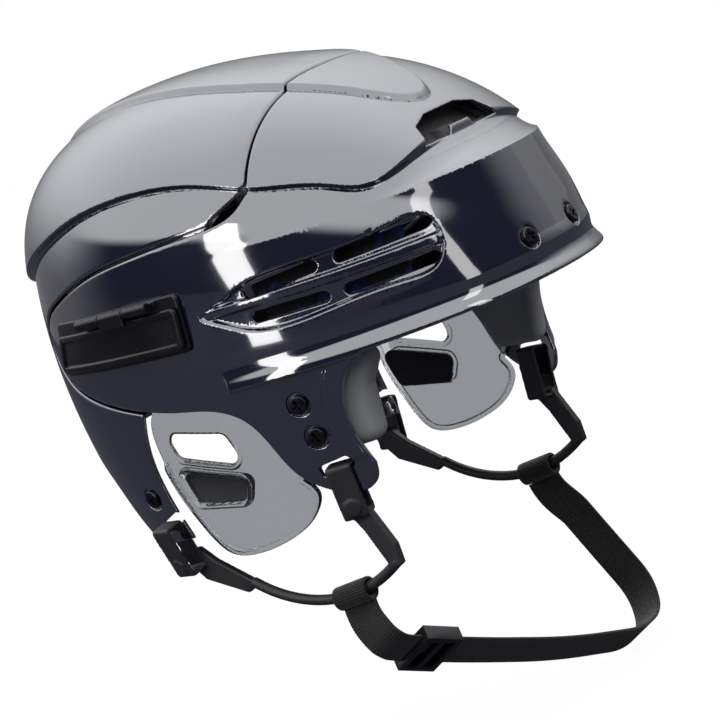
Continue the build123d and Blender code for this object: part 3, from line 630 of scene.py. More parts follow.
def pocket_distance(p, spot):
    """Distance to a round screw pocket, on both sides of the helmet."""
    away = np.column_stack([np.abs(p[:, 0]), p[:, 1], p[:, 2]]) - spot[0]
    height = away @ spot[1]
    across = np.linalg.norm(away - height[:, None] * spot[1], axis=1)
    return np.maximum(across - POCKET_RADIUS, -height - POCKET_DEPTH)


print("brow screw at", BROW_SPOT[0].round(1))

# %% [markdown]
# The front shell's field reads like the mould itself: the dome with its raised parts, joined
# to the brow, sunk at the vents, hollowed by its inner side, and then cut along its outline,
# through its slots and vent, and through the strap's slot.

# %% The front shell's field
RECESS_DEPTH, BAR_HEIGHT, FLAP_BAND = 2.6, 1.8, 1.8
SLOT_WIDTH, STRAP_SLOT = 5.5, (5.6, 17)
RACK_ROOM = (47, -6.5), (39, 11)


def front_field(p):
    """Below 0 inside the front shell's wall."""
    x, y, z = p.T
    d = dome_field(p)
    brow = brow_field(p)
    margin = rise(FRONT(y, z) + 9, -2.0) * rise(block_distance(y, z, (-52, -66), (36, 48), 0, 6), 5)
    bar = rise(capsule_distance(y, z, BAR, 4.5), 1.8)
    sunk = rise(RECESS(y, z), 2.6) * (RECESS_DEPTH - BAR_HEIGHT * bar)
    lift = raised(p) + FLAP_BAND * margin
    outer = rounded_min(d - lift, brow, 2.5) + sunk
    for spot in [BROW_SPOT] + SIDE_SPOTS:
        outer = rounded_max(outer, -pocket_distance(p, spot), 0.7)
    inner = rounded_min(d - raised(p) + WALL, brow + WALL, 2.0) + sunk
    shell = rounded_max(outer, -inner, 1.0)
    shell = rounded_max(shell, FRONT(y, z), 1.4)
    for ends in SLOTS:
        shell = rounded_max(shell, -capsule_distance(y, z, ends, SLOT_WIDTH), 0.9)
    vent = np.where(y < 0, VENT(x, z), 9)
    shell = rounded_max(shell, -vent, 1.2)
    shell = rounded_max(shell, -block_distance(y, z, (-36, -90.5), STRAP_SLOT, 1.45, 2), 0.8)
    return np.maximum(shell, -block_distance(y, z, *RACK_ROOM, 0, 1))


behind = front_field(np.array([[0, -20, 90.0]]))
print("20 mm behind the shell's top edge the field reads", behind.round(1)[0], "mm")

# %% [markdown]
# The field is meshed inside a box that holds the whole shell. The new piece rides on the
# front body and takes the place of that part's plain solid.

# %% Front shell
front_shell = field_piece("front_shell_moulding", front_field, (-112, -140, -110),
                          (112, 120, 96), STEP, share=SHARE)
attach(front_shell, "front")
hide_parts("front_shell")

# %% [markdown]
# The rear shell shows outside the front shell's outline, behind a narrow groove. Its rim is
# stepped in under the front shell, where it slides when the size is set.

# %% The rear shell's field
def rear_field(p):
    """Below 0 inside the rear shell's wall and its stepped rim."""
    y, z = p[:, 1], p[:, 2]
    d = dome_field(p)
    nested = dome_field(p, TRAVEL)
    front = FRONT(y, z)
    lift = raised(p)
    outer = rounded_min(nested + INNER, rounded_max(d - lift, -(front - SEAM), 1.6), 0.5)
    outer = rounded_max(outer, -pocket_distance(p, REAR_SPOT), 0.7)
    inner = np.minimum(nested + INNER + WALL, np.maximum(d - lift + WALL, -(front - SEAM - WALL)))
    shell = rounded_max(outer, -inner, 1.0)
    shell = rounded_max(shell, REAR(y, z), 1.4)
    return rounded_max(shell, -block_distance(y, z, (68, -98.5), STRAP_SLOT, 1.2, 2), 0.8)


above = rear_field(np.array([[0, 60, 83.0]]))
print("over the back of the crown the field reads", above.round(1)[0], "mm")

# %% [markdown]
# It is meshed like the front shell, but rides on the rear body, so it slides when the
# helmet's size is set.

# %% Rear shell
rear_shell = field_piece("rear_shell_moulding", rear_field, (-108, -62, -114),
                         (108, 147, 106), STEP, share=SHARE)
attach(rear_shell, "rear")
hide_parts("rear_shell")

# %% [markdown]
# The two sides of the helmet are mirror images, so each side piece is made once, on the
# wearer's left, and its mirror copy turns its faces the other way round so that they still
# point outwards.

# %% Mirror copies
def mirror_copy(piece, name):
    """A new piece that mirrors a left one in the helmet's middle plane."""
    source, flip = piece.data, np.array([-1, 1, 1])
    sides = len(source.polygons[0].vertices)
    points = np.zeros(len(source.vertices) * 3)
    faces = np.zeros(len(source.loops), int)
    normals = np.zeros(len(source.loops) * 3)
    source.vertices.foreach_get("co", points)
    source.loops.foreach_get("vertex_index", faces)
    source.corner_normals.foreach_get("vector", normals)
    normals = (normals.reshape(-1, sides, 3) * flip)[:, ::-1]
    return mesh_piece(name, points.reshape(-1, 3) * flip / MM, faces.reshape(-1, sides)[:, ::-1],
                      normals.reshape(-1, 3))


# %% [markdown]
# Both sides are then given to the bodies that they ride on, and to the parts whose places
# they take.

# %% Pairs
def pair(piece, node, body_left, body_right):
    """Make the right copy of a left piece, put both on their bodies and hide both of the node's parts.
    """
    right = mirror_copy(piece, piece.name.replace("_left", "_right"))
    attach(piece, body_left)
    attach(right, body_right)
    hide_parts(node + "_left")
    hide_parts(node + "_right")
    print(piece.name, "and", right.name, "ride on", body_left, "and", body_right)
    return [piece, right]


# %% [markdown]
# The ear guard is a clear moulding 2 mm thick, with two windows and a rim that stands
# outwards where the guard shows below the shell. The rim's round edge is what catches the
# light, so it is part of the same field.

# %% The ear guard's field
GUARD_LINE = Outline(run_outline([
    ("line", [(-42, -50), (-20, -42), (46, -38)]),
    ("bend", [(46, -38), (56, -48), (58.5, -64), (56, -84), (47.5, -108)]),
    ("bend", [(47.5, -108), (40, -119), (23, -122.5), (2, -119), (-15, -110), (-20.5, -100),
              (-16.5, -93)]),
    ("line", [(-16.5, -93), (-25, -85), (-42, -85), (-42, -50)])]), step=0.5)
RIM_HEIGHT, RIB_HEIGHT, RIB_WIDTH = 2.1, 1.3, 1.8
UPPER_WINDOW = rounded_outline([(50, -55), (16, -62), (11, -79), (47, -68)], 4.5)
LOWER_WINDOW = rounded_outline([(51, -75), (14, -86), (19, -96), (47, -92)], 3.5)


def guard_field(p):
    """Below 0 inside the left guard's sheet, rim and window frames."""
    x, y, z = p.T
    d = dome_field(p)
    edge = GUARD_LINE(y, z)
    shown = rise(block_distance(y, z, (21, -98.5), (86, 57), 0, 8), 5)
    rim = rise(-(edge + 2.4), 1.4)
    rib = rise(np.abs(UPPER_WINDOW(y, z) - RIB_WIDTH) - RIB_WIDTH / 2, 1.4)
    rib = np.maximum(rib, rise(np.abs(LOWER_WINDOW(y, z) - RIB_WIDTH) - RIB_WIDTH / 2, 1.4))
    guard = rounded_max(d + INNER - (RIM_HEIGHT * rim + RIB_HEIGHT * rib) * shown, -d - GUARD, 1.1)
    guard = rounded_max(guard, edge, 1.2)
    guard = rounded_max(guard, -UPPER_WINDOW(y, z), 1.0)
    guard = rounded_max(guard, -LOWER_WINDOW(y, z), 1.0)
    return np.maximum(guard, 30 - x)


print("the guard's edge spans", GUARD_LINE.size, "lattice points")

# %% [markdown]
# The guard needs a finer lattice than the shells, because its wall is only 2 mm thick and
# its rim is what the eye follows. A sheet could be bent and thickened instead, but the rim
# would then need a strip of its own.

# %% Clear ear guards
guard = field_piece("ear_guard_left_moulding", guard_field, (50, -52, -130), (112, 66, -30),
                    0.75)
GUARDS = pair(guard, "ear_guard", "front", "front")

# %% [markdown]
# The latch on each wing is a plate with two hinge knuckles and a flip lever that holds the
# size. Both are thin curved mouldings that follow the dome. They could be bent from flat
# plates, but with the same field as the shells they follow the dome exactly.

# %% The hinge
BASE_LINE = ([(7.5, 9), (95, 9), (103, -17.5), (10.5, -19.5)], 3.0)
LEVER_LINE = ([(9, 3), (93, 3), (101, -15.5), (12, -17.5)], 3.0)
HINGE = np.array([110.13, 46.62, 6.5])
ALONG = np.array([-0.1169, 0.9931, 0.0])
OUT = np.array([0.9931, 0.1169, 0.0])
KNUCKLE_RADIUS, KNUCKLE_HALF, KNUCKLE_SHIFT = 2.6, 8.0, 16.4
BASE_EDGE, LEVER_EDGE = rounded_outline(*BASE_LINE), rounded_outline(*LEVER_LINE)


def barrel_distance(p, shift):
    """Distance to a hinge knuckle, moved along the hinge by shift."""
    away = p - HINGE
    along = np.abs(away @ ALONG - shift) - KNUCKLE_HALF
    wall = np.hypot(away[:, 2], away @ OUT) - KNUCKLE_RADIUS
    return rounded_max(wall, along, 0.6)


def arm_distance(p, shift, up_low, up_high, out_low, out_high):
    """Distance to the block that carries a knuckle."""
    away = p - HINGE
    along, up, out = away @ ALONG - shift, away[:, 2], away @ OUT
    ends = np.maximum(np.abs(along) - KNUCKLE_HALF, np.maximum(up_low - up, up - up_high))
    return np.maximum(ends, np.maximum(out_low - out, out - out_high))


print("hinge at", HINGE, "with three knuckles", 2 * KNUCKLE_HALF, "mm long")

# %% [markdown]
# The plate lies flat on the wing and carries a knuckle on each side of the middle one. The
# lever lies over it and carries the middle knuckle, and its face is sunk inside a border
# 3 mm wide. Heights are measured from the dome, so both follow the wing's curve.

# %% The fields of plate and lever
PLATE_UNDER, PLATE_TOP = 0.1, 2.0
LEVER_UNDER, LEVER_TOP, FACE_DEPTH, BORDER = 2.4, 4.8, 0.9, 3.4


def base_field(p):
    """Below 0 inside the left latch plate and its two knuckles."""
    d, edge = dome_field(p), BASE_EDGE(p[:, 1], p[:, 2])
    plate = rounded_max(rounded_max(d - PLATE_TOP, PLATE_UNDER - d, 0.8), edge, 1.4)
    for shift in (-KNUCKLE_SHIFT, KNUCKLE_SHIFT):
        foot = rounded_max(arm_distance(p, shift, -1.3, 1.3, -5.2, 0.0), 1.0 - d, 0.3)
        plate = rounded_min(plate, np.minimum(barrel_distance(p, shift), foot), 0.5)
    return np.maximum(plate, -block_distance(p[:, 1], p[:, 2], *RACK_ROOM, 0, 1))


def lever_field(p):
    """Below 0 inside the left lever and its knuckle."""
    d, edge = dome_field(p), LEVER_EDGE(p[:, 1], p[:, 2])
    sunk = FACE_DEPTH * rise(edge + BORDER, 0.9)
    plate = rounded_max(rounded_max(d - LEVER_TOP + sunk, LEVER_UNDER - d, 0.8), edge, 1.4)
    arm = rounded_max(arm_distance(p, 0.0, -5.2, 0.0, -2.6, 2.6), LEVER_UNDER - d, 0.3)
    return rounded_min(plate, np.minimum(barrel_distance(p, 0.0), arm), 0.6)


knuckle = HINGE + KNUCKLE_SHIFT * ALONG
print("inside a knuckle the plate's field reads", base_field(knuckle[None]).round(1)[0], "mm")

# %% [markdown]
# The plates ride on the front body with the wing. Each lever has a body of its own, which
# turns about the hinge.

# %% Latches
LATCH_STEP = 0.62
base = field_piece("latch_base_left_moulding", base_field,
                   (88, 2, -24), (118, 108, 14), LATCH_STEP)
lever = field_piece("latch_lever_left_moulding", lever_field,
                    (88, 2, -24), (118, 108, 14), LATCH_STEP)
BASES = pair(base, "latch_base", "front", "front")
LEVERS = pair(lever, "latch_lever", "latch_left", "latch_right")

# %% [markdown]
# The liner is cut from closed-cell foam with moulded, rounded edges. Each pad lies between
# two depths under the shell. It could be a block with bevelled edges, but then it would not
# follow the dome. Blending its edges over 7 mm gives the soft, crowned look of such foam.

# %% The foam's field
def pad_field(outline, depth, thickness, drawn=0.0, plane="side", cuts=(), corner=7.0):
    """A field for a pad between two depths, inside an outline seen from one side."""
    edge_line = rounded_outline(outline, corner)

    def field(p):
        x, y, z = p.T
        d = dome_field(p, drawn)
        u, v = {"side": (y, z), "end": (x, z), "top": (x, y)}[plane]
        edge = edge_line(u, v)
        pad = rounded_max(d + depth, -d - depth - thickness, 3.0)
        pad = rounded_max(pad, edge, 7.0)
        for cut in cuts:
            pad = rounded_max(pad, -cut(p, d), 1.5)
        if plane == "top":
            pad = rounded_max(pad, 21 - z, 2)
        return pad
    return field


pad = pad_field([(-20, -20), (20, -20), (20, 20), (-20, 20)], 3, 13, plane="top")
print("inside a pad the field reads", pad(np.array([[0, 0, 78.0]])).round(1)[0], "mm")

# %% [markdown]
# The pad behind the side vents has a channel along each row of slots, and the front crown
# pad has one under the central vent, so that air passes.

# %% Air channels
def channel(ends):
    """A cut along a row of slots, 6.1 mm wide."""
    return lambda p, d: np.maximum(capsule_distance(p[:, 1], p[:, 2], ends, 6.1), -9.9 - d)


def vent_channel(p, d):
    """A cut with the central vent's outline."""
    return np.maximum(np.where(p[:, 1] < 0, VENT(p[:, 0], p[:, 2]) - 0.3, 9), -7.3 - d)


PAD_STEP = 1.8
print("foam meshed at", PAD_STEP, "mm")

# %% [markdown]
# Four pads come in pairs. Each row gives a pad's outline in the side view, its depth under
# the dome, its thickness, how far it is drawn forwards with the rear shell, and its cuts.

# %% Side pads
SIDE_PADS = [
    ("temple_pad", [(-72, -40), (-14, -40), (-12, -62), (-24, -86), (-56, -86), (-60, -60)],
     5.6, 13, 0, ()),
    ("side_pad", [(2, 42), (62, 42), (62, -6), (14, -6)], 6.6, 13, 10, ()),
    ("rear_side_pad", [(70, -46), (102, -42), (98, -74), (84, -96), (70, -96)], 3.3, 8, 0, ()),
    ("vent_pad", [(-26, 8), (-94, 12), (-94, -22), (-26, -20)], 5.9, 8, 0,
     (channel(((-27, -1), (-104, 3))), channel(((-27, -13), (-105, -13)))))]
RIDES = {"temple_pad": "front", "side_pad": "rear", "rear_side_pad": "rear", "vent_pad": "front"}
PADS = {}
for name, outline, depth, thickness, drawn, cuts in SIDE_PADS:
    corner = 4.0 if name == "vent_pad" else 7.0
    field = pad_field(outline, depth, thickness, drawn, cuts=cuts, corner=corner)
    spots = np.array(outline)
    low, high = spots.min(0) - 3, spots.max(0) + 3
    piece = field_piece(name + "_left_foam", field, (30, low[0], low[1]),
                        (112, high[0], high[1]), PAD_STEP)
    PADS[name] = pair(piece, name, RIDES[name], RIDES[name])
print(len(PADS), "pairs of pads")

# %% [markdown]
# The other four pads lie across the middle. Two are drawn from the front or the back, and
# the crown pads from above. Each row gives the outline, the plane that it is drawn in, how
# much closer to the shell the pad lies, its cuts, the box around it and its body.

# %% Middle pads
END_PADS = [
    ("brow_pad", [(-38, -30), (38, -30), (38, 16), (-38, 16)], "end", 0, (),
     (-46, -140, -34), (46, -60, 20), "front"),
    ("nape_pad", [(-40, -44), (40, -44), (40, 14), (-40, 14)], "end", 0, (),
     (-48, 60, -48), (48, 145, 18), "rear"),
    ("front_crown_pad", [(-44, -106), (44, -106), (44, -62), (-44, -62)], "top", 0,
     (vent_channel,), (-48, -112, 14), (48, -56, 90), "front"),
    ("rear_crown_pad", [(-46, -26), (46, -26), (46, 52), (-46, 52)], "top", 3.5, (),
     (-50, -30, 40), (50, 58, 98), "rear")]
for name, outline, plane, lift, cuts, low, high, body in END_PADS:
    field = pad_field(outline, INNER - lift, 13 + lift, plane=plane, cuts=cuts)
    piece = field_piece(name + "_foam", field, low, high, PAD_STEP)
    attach(piece, body)
    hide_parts(name)
    PADS[name] = [piece]
for pieces in PADS.values():
    for piece in pieces:
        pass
print(sum(len(pieces) for pieces in PADS.values()), "pads declared")

# %% [markdown]
# The screws are black pan-head screws with a cross recess. The recess could be painted on,
# but its edges catch the light, so it is cut. For that a few plain helpers are needed: one
# cuts a piece with another, and two more add a block and a cylinder.

# %% Cutting and simple solids
def cut_with(piece, cutter):
    """Cut a piece with another one, which is used up."""
    apply_modifier(piece, "BOOLEAN", object=cutter, operation="DIFFERENCE", solver="EXACT")
    bpy.data.objects.remove(cutter)


def block(size, centre, turn=0.0):
    """A plain block of this size, turned about the vertical."""
    bpy.ops.object.select_all(action="DESELECT")
    bpy.ops.mesh.primitive_cube_add(size=1, location=[c * MM for c in centre],
                                    rotation=(0, 0, turn), scale=[s * MM for s in size])
    return bpy.context.object


def round_bar(radius, low, high, sides=40):
    """A cylinder on the Z axis between two heights."""
    bpy.ops.object.select_all(action="DESELECT")
    bpy.ops.mesh.primitive_cylinder_add(vertices=sides, radius=radius * MM,
                                        depth=(high - low) * MM,
                                        location=(0, 0, (low + high) / 2 * MM))
    return bpy.context.object


# %% [markdown]
# The head is a short cylinder with a bevelled edge. Two crossed blocks and a square one in
# the middle cut the recess, and a thin rod is the shank that reaches the nut.

# %% One screw
HEAD_RADIUS, HEAD_HEIGHT, SHANK_RADIUS, SHANK, CROSS_TURN = 4.6, 2.2, 2.0, 7.0, 0.4


def screw_shape():
    """One screw at the origin, its head up."""
    head = round_bar(HEAD_RADIUS, 0.0, HEAD_HEIGHT)
    apply_modifier(head, "BEVEL", width=0.75 * MM, segments=4, limit_method="ANGLE")
    for turn in (0.0, math.pi / 2):
        cut_with(head, block((5.4, 1.15, 2.4), (0, 0, 2.35), turn + CROSS_TURN))
    cut_with(head, block((2.0, 2.0, 2.6), (0, 0, 2.15), CROSS_TURN + math.pi / 4))
    rod = round_bar(SHANK_RADIUS, -SHANK, 0.1, 20)
    only(rod)
    head.select_set(True)
    bpy.context.view_layer.objects.active = head
    bpy.ops.object.join()
    bpy.ops.object.transform_apply()
    bpy.ops.object.shade_smooth_by_angle(angle=math.radians(35))
    return head


screw = screw_shape()
print("one screw has", len(screw.data.polygons), "faces")

# %% [markdown]
# What repeats is modelled once. Each copy has its own mesh, turned to the pocket's normal
# and moved into the pocket, and screws that belong together are joined into one piece.

# %% Screws in their pockets
POCKET_FLOOR = 1.2


def place_copy(shape, name, point, normal, side=1):
    """Copy a shape's mesh to a point, its Z along the normal; side -1 is the right."""
    flip = np.array([side, 1, 1])
    z = Vector(normal * flip).normalized()
    x = Vector((0, 0, 1)).cross(z).normalized()
    turn = Matrix([x, z.cross(x), z]).transposed().to_4x4()
    mesh = shape.data.copy()
    mesh.transform(Matrix.Translation(Vector(point * flip) * MM) @ turn)
    copy = bpy.data.objects.new(name, mesh)
    bpy.context.collection.objects.link(copy)
    return copy


def screw_group(name, spots, sides):
    """The screws of one piece: a copy for each pocket and side."""
    pieces = [place_copy(screw, name + "_steel", spot[0] - POCKET_FLOOR * spot[1], spot[1], side)
              for spot in spots for side in sides]
    only(pieces[0])
    for piece in pieces[1:]:
        piece.select_set(True)
    if len(pieces) > 1:
        bpy.ops.object.join()
    return pieces[0]


SCREWS = []
for name, spots, sides, body in (
        ("brow_screws", [BROW_SPOT], (1, -1), "front"),
        ("side_screws_left", SIDE_SPOTS, (1,), "front"),
        ("side_screws_right", SIDE_SPOTS, (-1,), "front"),
        ("rear_screw_left", [REAR_SPOT], (1,), "rear"),
        ("rear_screw_right", [REAR_SPOT], (-1,), "rear")):
    piece = screw_group(name, spots, sides)
    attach(piece, body)
    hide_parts(name)
    SCREWS.append(piece)
bpy.data.objects.remove(screw)
print(len(SCREWS), "screw pieces")

# %% [markdown]
# The slings are moulded in one soft plastic piece. They could be drawn again, but the CAD
# solid already has their course and thickness, and only its edges are too sharp. A copy of
# it is merged, remeshed finely and smoothed, which rounds every edge at once.

# %% Slings
def softened(node, name, voxel, rounds):
    """A copy of a CAD node's solid with all its edges slightly rounded."""
    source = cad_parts[node]
    piece = source.copy()
    piece.data = source.data.copy()
    piece.name = name
    bpy.context.collection.objects.link(piece)
    piece.hide_render = False
    piece.parent = None
    piece.matrix_world = Matrix()
    only(piece)
    bpy.ops.object.mode_set(mode="EDIT")
    bpy.ops.mesh.select_all(action="SELECT")
    bpy.ops.mesh.remove_doubles(threshold=1e-5)
    bpy.ops.object.mode_set(mode="OBJECT")
    apply_modifier(piece, "REMESH", mode="VOXEL", voxel_size=voxel * MM, use_smooth_shade=True)
    apply_modifier(piece, "SMOOTH", factor=0.5, iterations=rounds)
    print(name, len(piece.data.polygons), "faces")
    return piece


SLINGS = []
SLING_VOXEL = 0.6
for side in ("left", "right"):
    piece = softened("sling_" + side, "sling_" + side + "_moulding", SLING_VOXEL, rounds=4)
    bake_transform(piece)
    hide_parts("sling_" + side)
    SLINGS.append(piece)

# %% [markdown]
# The chin strap is woven webbing 20 mm wide and 1.6 mm thick. A flat picture of a weave
# would show that it has no thickness, so the webbing is a rounded rectangle carried along
# the strap's line. The strap hangs from the slings' arc and leans forwards as it goes down.

# %% The strap's line, as shares of 100 mm across and down
STRAP_LINE = np.array([(-0.905, 0.05), (-0.945, 0.16), (-0.985, 0.30), (-0.55, 0.535), (0.00, 0.80),
                       (0.50, 0.975), (0.72, 0.965), (0.86, 0.80), (0.88, 0.42), (0.905, 0.05)])
ARC_CENTRE, ARC_RADIUS = np.array([-8.0, -82.0]), 71.0


def strap_place(across, depth):
    """Point of the strap in millimetres, and the direction of its width there."""
    t = min(depth / 0.30, 1)
    lean = math.radians(7.3 + (28.0 - 7.3) * t * t * (3 - 2 * t))
    start = math.radians(7.3)
    y = ARC_CENTRE[0] - ARC_RADIUS * math.sin(start) - 100 * depth * math.sin(lean)
    z = ARC_CENTRE[1] - ARC_RADIUS * math.cos(start) - 100 * depth * math.cos(lean)
    return np.array([100 * across, y, z]), np.array([0, -math.cos(lean), math.sin(lean)])


print("the strap's left loop is at", strap_place(0.905, 0)[0].round(1))

# %% [markdown]
# Webbing bends in even curves, so each corner of its line becomes an arc that is as large
# as the two runs beside it allow.

# %% Arcs at the corners
def rounded_line(points, share=0.45, steps=9):
    """Polyline with an arc at each corner, as evenly spaced points."""
    out = [points[0]]
    for a, b, c in zip(points[:-2], points[1:-1], points[2:]):
        ins, outs = (b - a), (c - b)
        reach = share * min(np.linalg.norm(ins), np.linalg.norm(outs))
        ins, outs = ins / np.linalg.norm(ins), outs / np.linalg.norm(outs)
        turn = math.acos(np.clip(ins @ outs, -1, 1))
        radius = reach / math.tan(turn / 2)
        side = np.array([-ins[1], ins[0]]) * np.sign(ins[0] * outs[1] - ins[1] * outs[0])
        start = b - ins * reach
        for i in range(steps + 1):
            a_turn = turn * i / steps
            out.append(start + ins * radius * math.sin(a_turn) + side * radius * (1 - math.cos(a_turn)))
    out.append(points[-1])
    out = np.array(out)
    run = np.concatenate([[0], np.cumsum(np.linalg.norm(np.diff(out, axis=0), axis=1))])
    even = np.linspace(0, run[-1], int(run[-1] * 100 / 2.2))
    return np.column_stack([np.interp(even, run, out[:, i]) for i in (0, 1)])


line = rounded_line(STRAP_LINE)
print("the strap's line has", len(line), "points")

# %% [markdown]
# The webbing's section is a flat rounded rectangle. Extra points along its wide faces let
# the mesh bend evenly.

# %% The webbing's section
def webbing_section(width=20.0, thick=1.6, corner=0.7):
    """Closed section of the webbing as (across, through) points, from one edge round."""
    points = []
    for cx, cz, a in ((1, 1, 0), (-1, 1, 90), (-1, -1, 180), (1, -1, 270)):
        for i in range(4):
            angle = math.radians(a + 30 * i)
            points.append((cx * (width / 2 - corner) + corner * math.cos(angle),
                           cz * (thick / 2 - corner) + corner * math.sin(angle)))
    sides = []
    for i, point in enumerate(points):
        nearby = points[(i + 1) % len(points)]
        sides.append(point)
        if abs(point[0] - nearby[0]) > 5:
            for t in (0.25, 0.5, 0.75):
                sides.append((point[0] + t * (nearby[0] - point[0]), point[1]))
    return np.array(sides)


# %% [markdown]
# The section is carried along the line, ring by ring. A UV map is written beside it, with
# the run along the strap as U and the place across it as V, both in metres, so that the
# weave follows the strap round its bends.

# %% Carrying the webbing
def webbing(name, centres, widths, closed=False):
    """Webbing carried along its centre line, with a UV map in metres."""
    section = webbing_section()
    n, m = len(centres), len(section)
    if closed:
        tangents = np.roll(centres, -1, 0) - np.roll(centres, 1, 0)
    else:
        tangents = np.gradient(centres, axis=0)
    tangents /= np.linalg.norm(tangents, axis=1)[:, None]
    widths = widths - (widths * tangents).sum(1)[:, None] * tangents
    widths /= np.linalg.norm(widths, axis=1)[:, None]
    outs = np.cross(tangents, widths)
    points = (centres[:, None] + section[None, :, :1] * widths[:, None]
              + section[None, :, 1:] * outs[:, None]).reshape(-1, 3)
    run = np.concatenate([[0], np.cumsum(np.linalg.norm(np.diff(centres, axis=0), axis=1))])
    if closed:
        run = np.append(run, run[-1] + np.linalg.norm(centres[0] - centres[-1]))
    faces, coords = [], []
    for i in range(n if closed else n - 1):
        for j in range(m):
            a, b, k = i, (i + 1) % n, (j + 1) % m
            faces.append((a * m + j, a * m + k, b * m + k, b * m + j))
            coords += [(run[i], section[j, 0]), (run[i], section[k, 0]),
                       (run[i + 1], section[k, 0]), (run[i + 1], section[j, 0])]
    if not closed:
        for ring, at in ((list(range(m))[::-1], 0), (list(range((n - 1) * m, n * m)), n - 1)):
            faces.append(tuple(ring))
            coords += [(run[at], section[i % m, 0]) for i in ring]
    mesh = bpy.data.meshes.new(name)
    mesh.from_pydata([tuple(p) for p in points * MM], [], faces)
    layer = mesh.uv_layers.new(name="webbing")
    layer.data.foreach_set("uv", (np.array(coords) * MM).ravel())
    mesh.polygons.foreach_set("use_smooth", [True] * len(faces))
    mesh.update()
    piece = bpy.data.objects.new(name, mesh)
    bpy.context.collection.objects.link(piece)
    only(piece)
    bpy.ops.object.mode_set(mode="EDIT")
    bpy.ops.mesh.select_all(action="SELECT")
    bpy.ops.mesh.normals_make_consistent(inside=False)
    bpy.ops.object.mode_set(mode="OBJECT")
    return piece


print("the section has", len(webbing_section()), "points")

# %% [markdown]
# The strap and the sewn loops round the slings are made with the same helper and joined
# into one piece, which swings as one.

# %% Chin strap
LOOP_RADIUS, LOOP_POINTS = 5.0, 40
places = [strap_place(*point) for point in line]
strap = webbing("chin_strap_webbing", np.array([p for p, _ in places]),
                np.array([w for _, w in places]))
loops = []
for side in (-1, 1):
    point, width = strap_place(side * 0.905, 0)
    out = np.array([1.0, 0, 0])
    down = np.cross(width, out)
    ring = [point + LOOP_RADIUS * (out * math.cos(a) + down * math.sin(a))
            for a in np.linspace(0, 2 * math.pi, LOOP_POINTS + 1)[:-1]]
    loops.append(webbing("loop", np.array(ring), np.tile(width, (LOOP_POINTS, 1)), closed=True))
only(strap)
for loop in loops:
    loop.select_set(True)
bpy.context.view_layer.objects.active = strap
bpy.ops.object.join()
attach(strap, "strap")
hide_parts("chin_strap")
runs = np.linalg.norm(np.diff([p for p, _ in places], axis=0), axis=1)
print("the strap is", round(float(runs.sum())), "mm long between its loops")

# %% [markdown]
# The three-bar slider is a moulded frame that the strap is threaded through. A block's
# upright edges are rounded first. It is then cut through along the strap and opened above
# and below, which leaves three bars on top, and a bevel rounds every edge that is left.

# %% The slider's shape
SLIDER_BAR, SLIDER_WINDOW = 3.2, 3.0


def slider_shape():
    """The slider at the origin, its length along X."""
    length, across, thick = 5 * SLIDER_BAR + 2 * SLIDER_WINDOW, 20 + 2 * SLIDER_BAR, 1.6 + 6.0
    body = block((length, across, thick), (0, 0, 0))
    only(body)
    bpy.ops.object.transform_apply()
    bpy.ops.object.mode_set(mode="EDIT")
    mesh = bmesh.from_edit_mesh(body.data)
    for edge in mesh.edges:
        edge.select = abs(edge.verts[0].co.z - edge.verts[1].co.z) > 1e-4
    bmesh.update_edit_mesh(body.data)
    bpy.ops.mesh.bevel(offset=3.1 * MM, segments=6)
    bpy.ops.object.mode_set(mode="OBJECT")
    cut_with(body, block((2 * length, 20.6, 2.2), (0, 0, 0)))
    opening = (length - 3 * SLIDER_BAR) / 2
    for side in (-1, 1):
        cut_with(body, block((opening, 20, thick), (side * (opening + SLIDER_BAR) / 2, 0, thick / 2)))
    cut_with(body, block((length - 2 * SLIDER_BAR, 20, thick), (0, 0, -thick / 2)))
    apply_modifier(body, "BEVEL", width=0.55 * MM, segments=3, limit_method="ANGLE",
                   angle_limit=math.radians(40))
    bpy.ops.object.shade_smooth_by_angle(angle=math.radians(40))
    return body


slider = slider_shape()
print("the slider has", len(slider.data.polygons), "faces")

# %% [markdown]
# The slider sits on the strap's slanting run, a little before its middle, in line with the
# webbing.

# %% The slider on its strap
first, last = np.array([-0.985, 0.30]), np.array([-0.55, 0.535])
start, end = strap_place(*first)[0], strap_place(*last)[0]
spot, width = strap_place(*(first + 0.48 * (last - first)))
x = Vector(end - start).normalized()
z = x.cross(Vector(width)).normalized()
slider.data.transform(Matrix.Translation(Vector(spot) * MM)
                      @ Matrix([x, z.cross(x), z]).transposed().to_4x4())
slider.name = "strap_slider_moulding"
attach(slider, "slider")
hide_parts("strap_slider")
print("slider at", spot.round(1))

# %% [markdown]
# Each material starts from what the real one is. Colours are written as sRGB hex values,
# as a colour picker shows them, and one function turns them into the linear light that the
# shader works in. One small function adds any node with its settings and links.

# %% Material helpers
def colour(text):
    """A hex colour as linear red, green, blue and full cover."""
    parts = [int(text[i:i + 2], 16) / 255 for i in (1, 3, 5)]
    return tuple(c / 12.92 if c <= 0.04045 else ((c + 0.055) / 1.055) ** 2.4 for c in parts) + (1.0,)


def node(tree, kind, values=None, links=None, **settings):
    """A new shader node: its settings, then its inputs' values and links."""
    made = tree.nodes.new("ShaderNode" + kind)
    for key, value in settings.items():
        setattr(made, key, value)
    for key, value in (values or {}).items():
        made.inputs[key].default_value = value
    for key, source in (links or {}).items():
        tree.links.new(source, made.inputs[key])
    return made


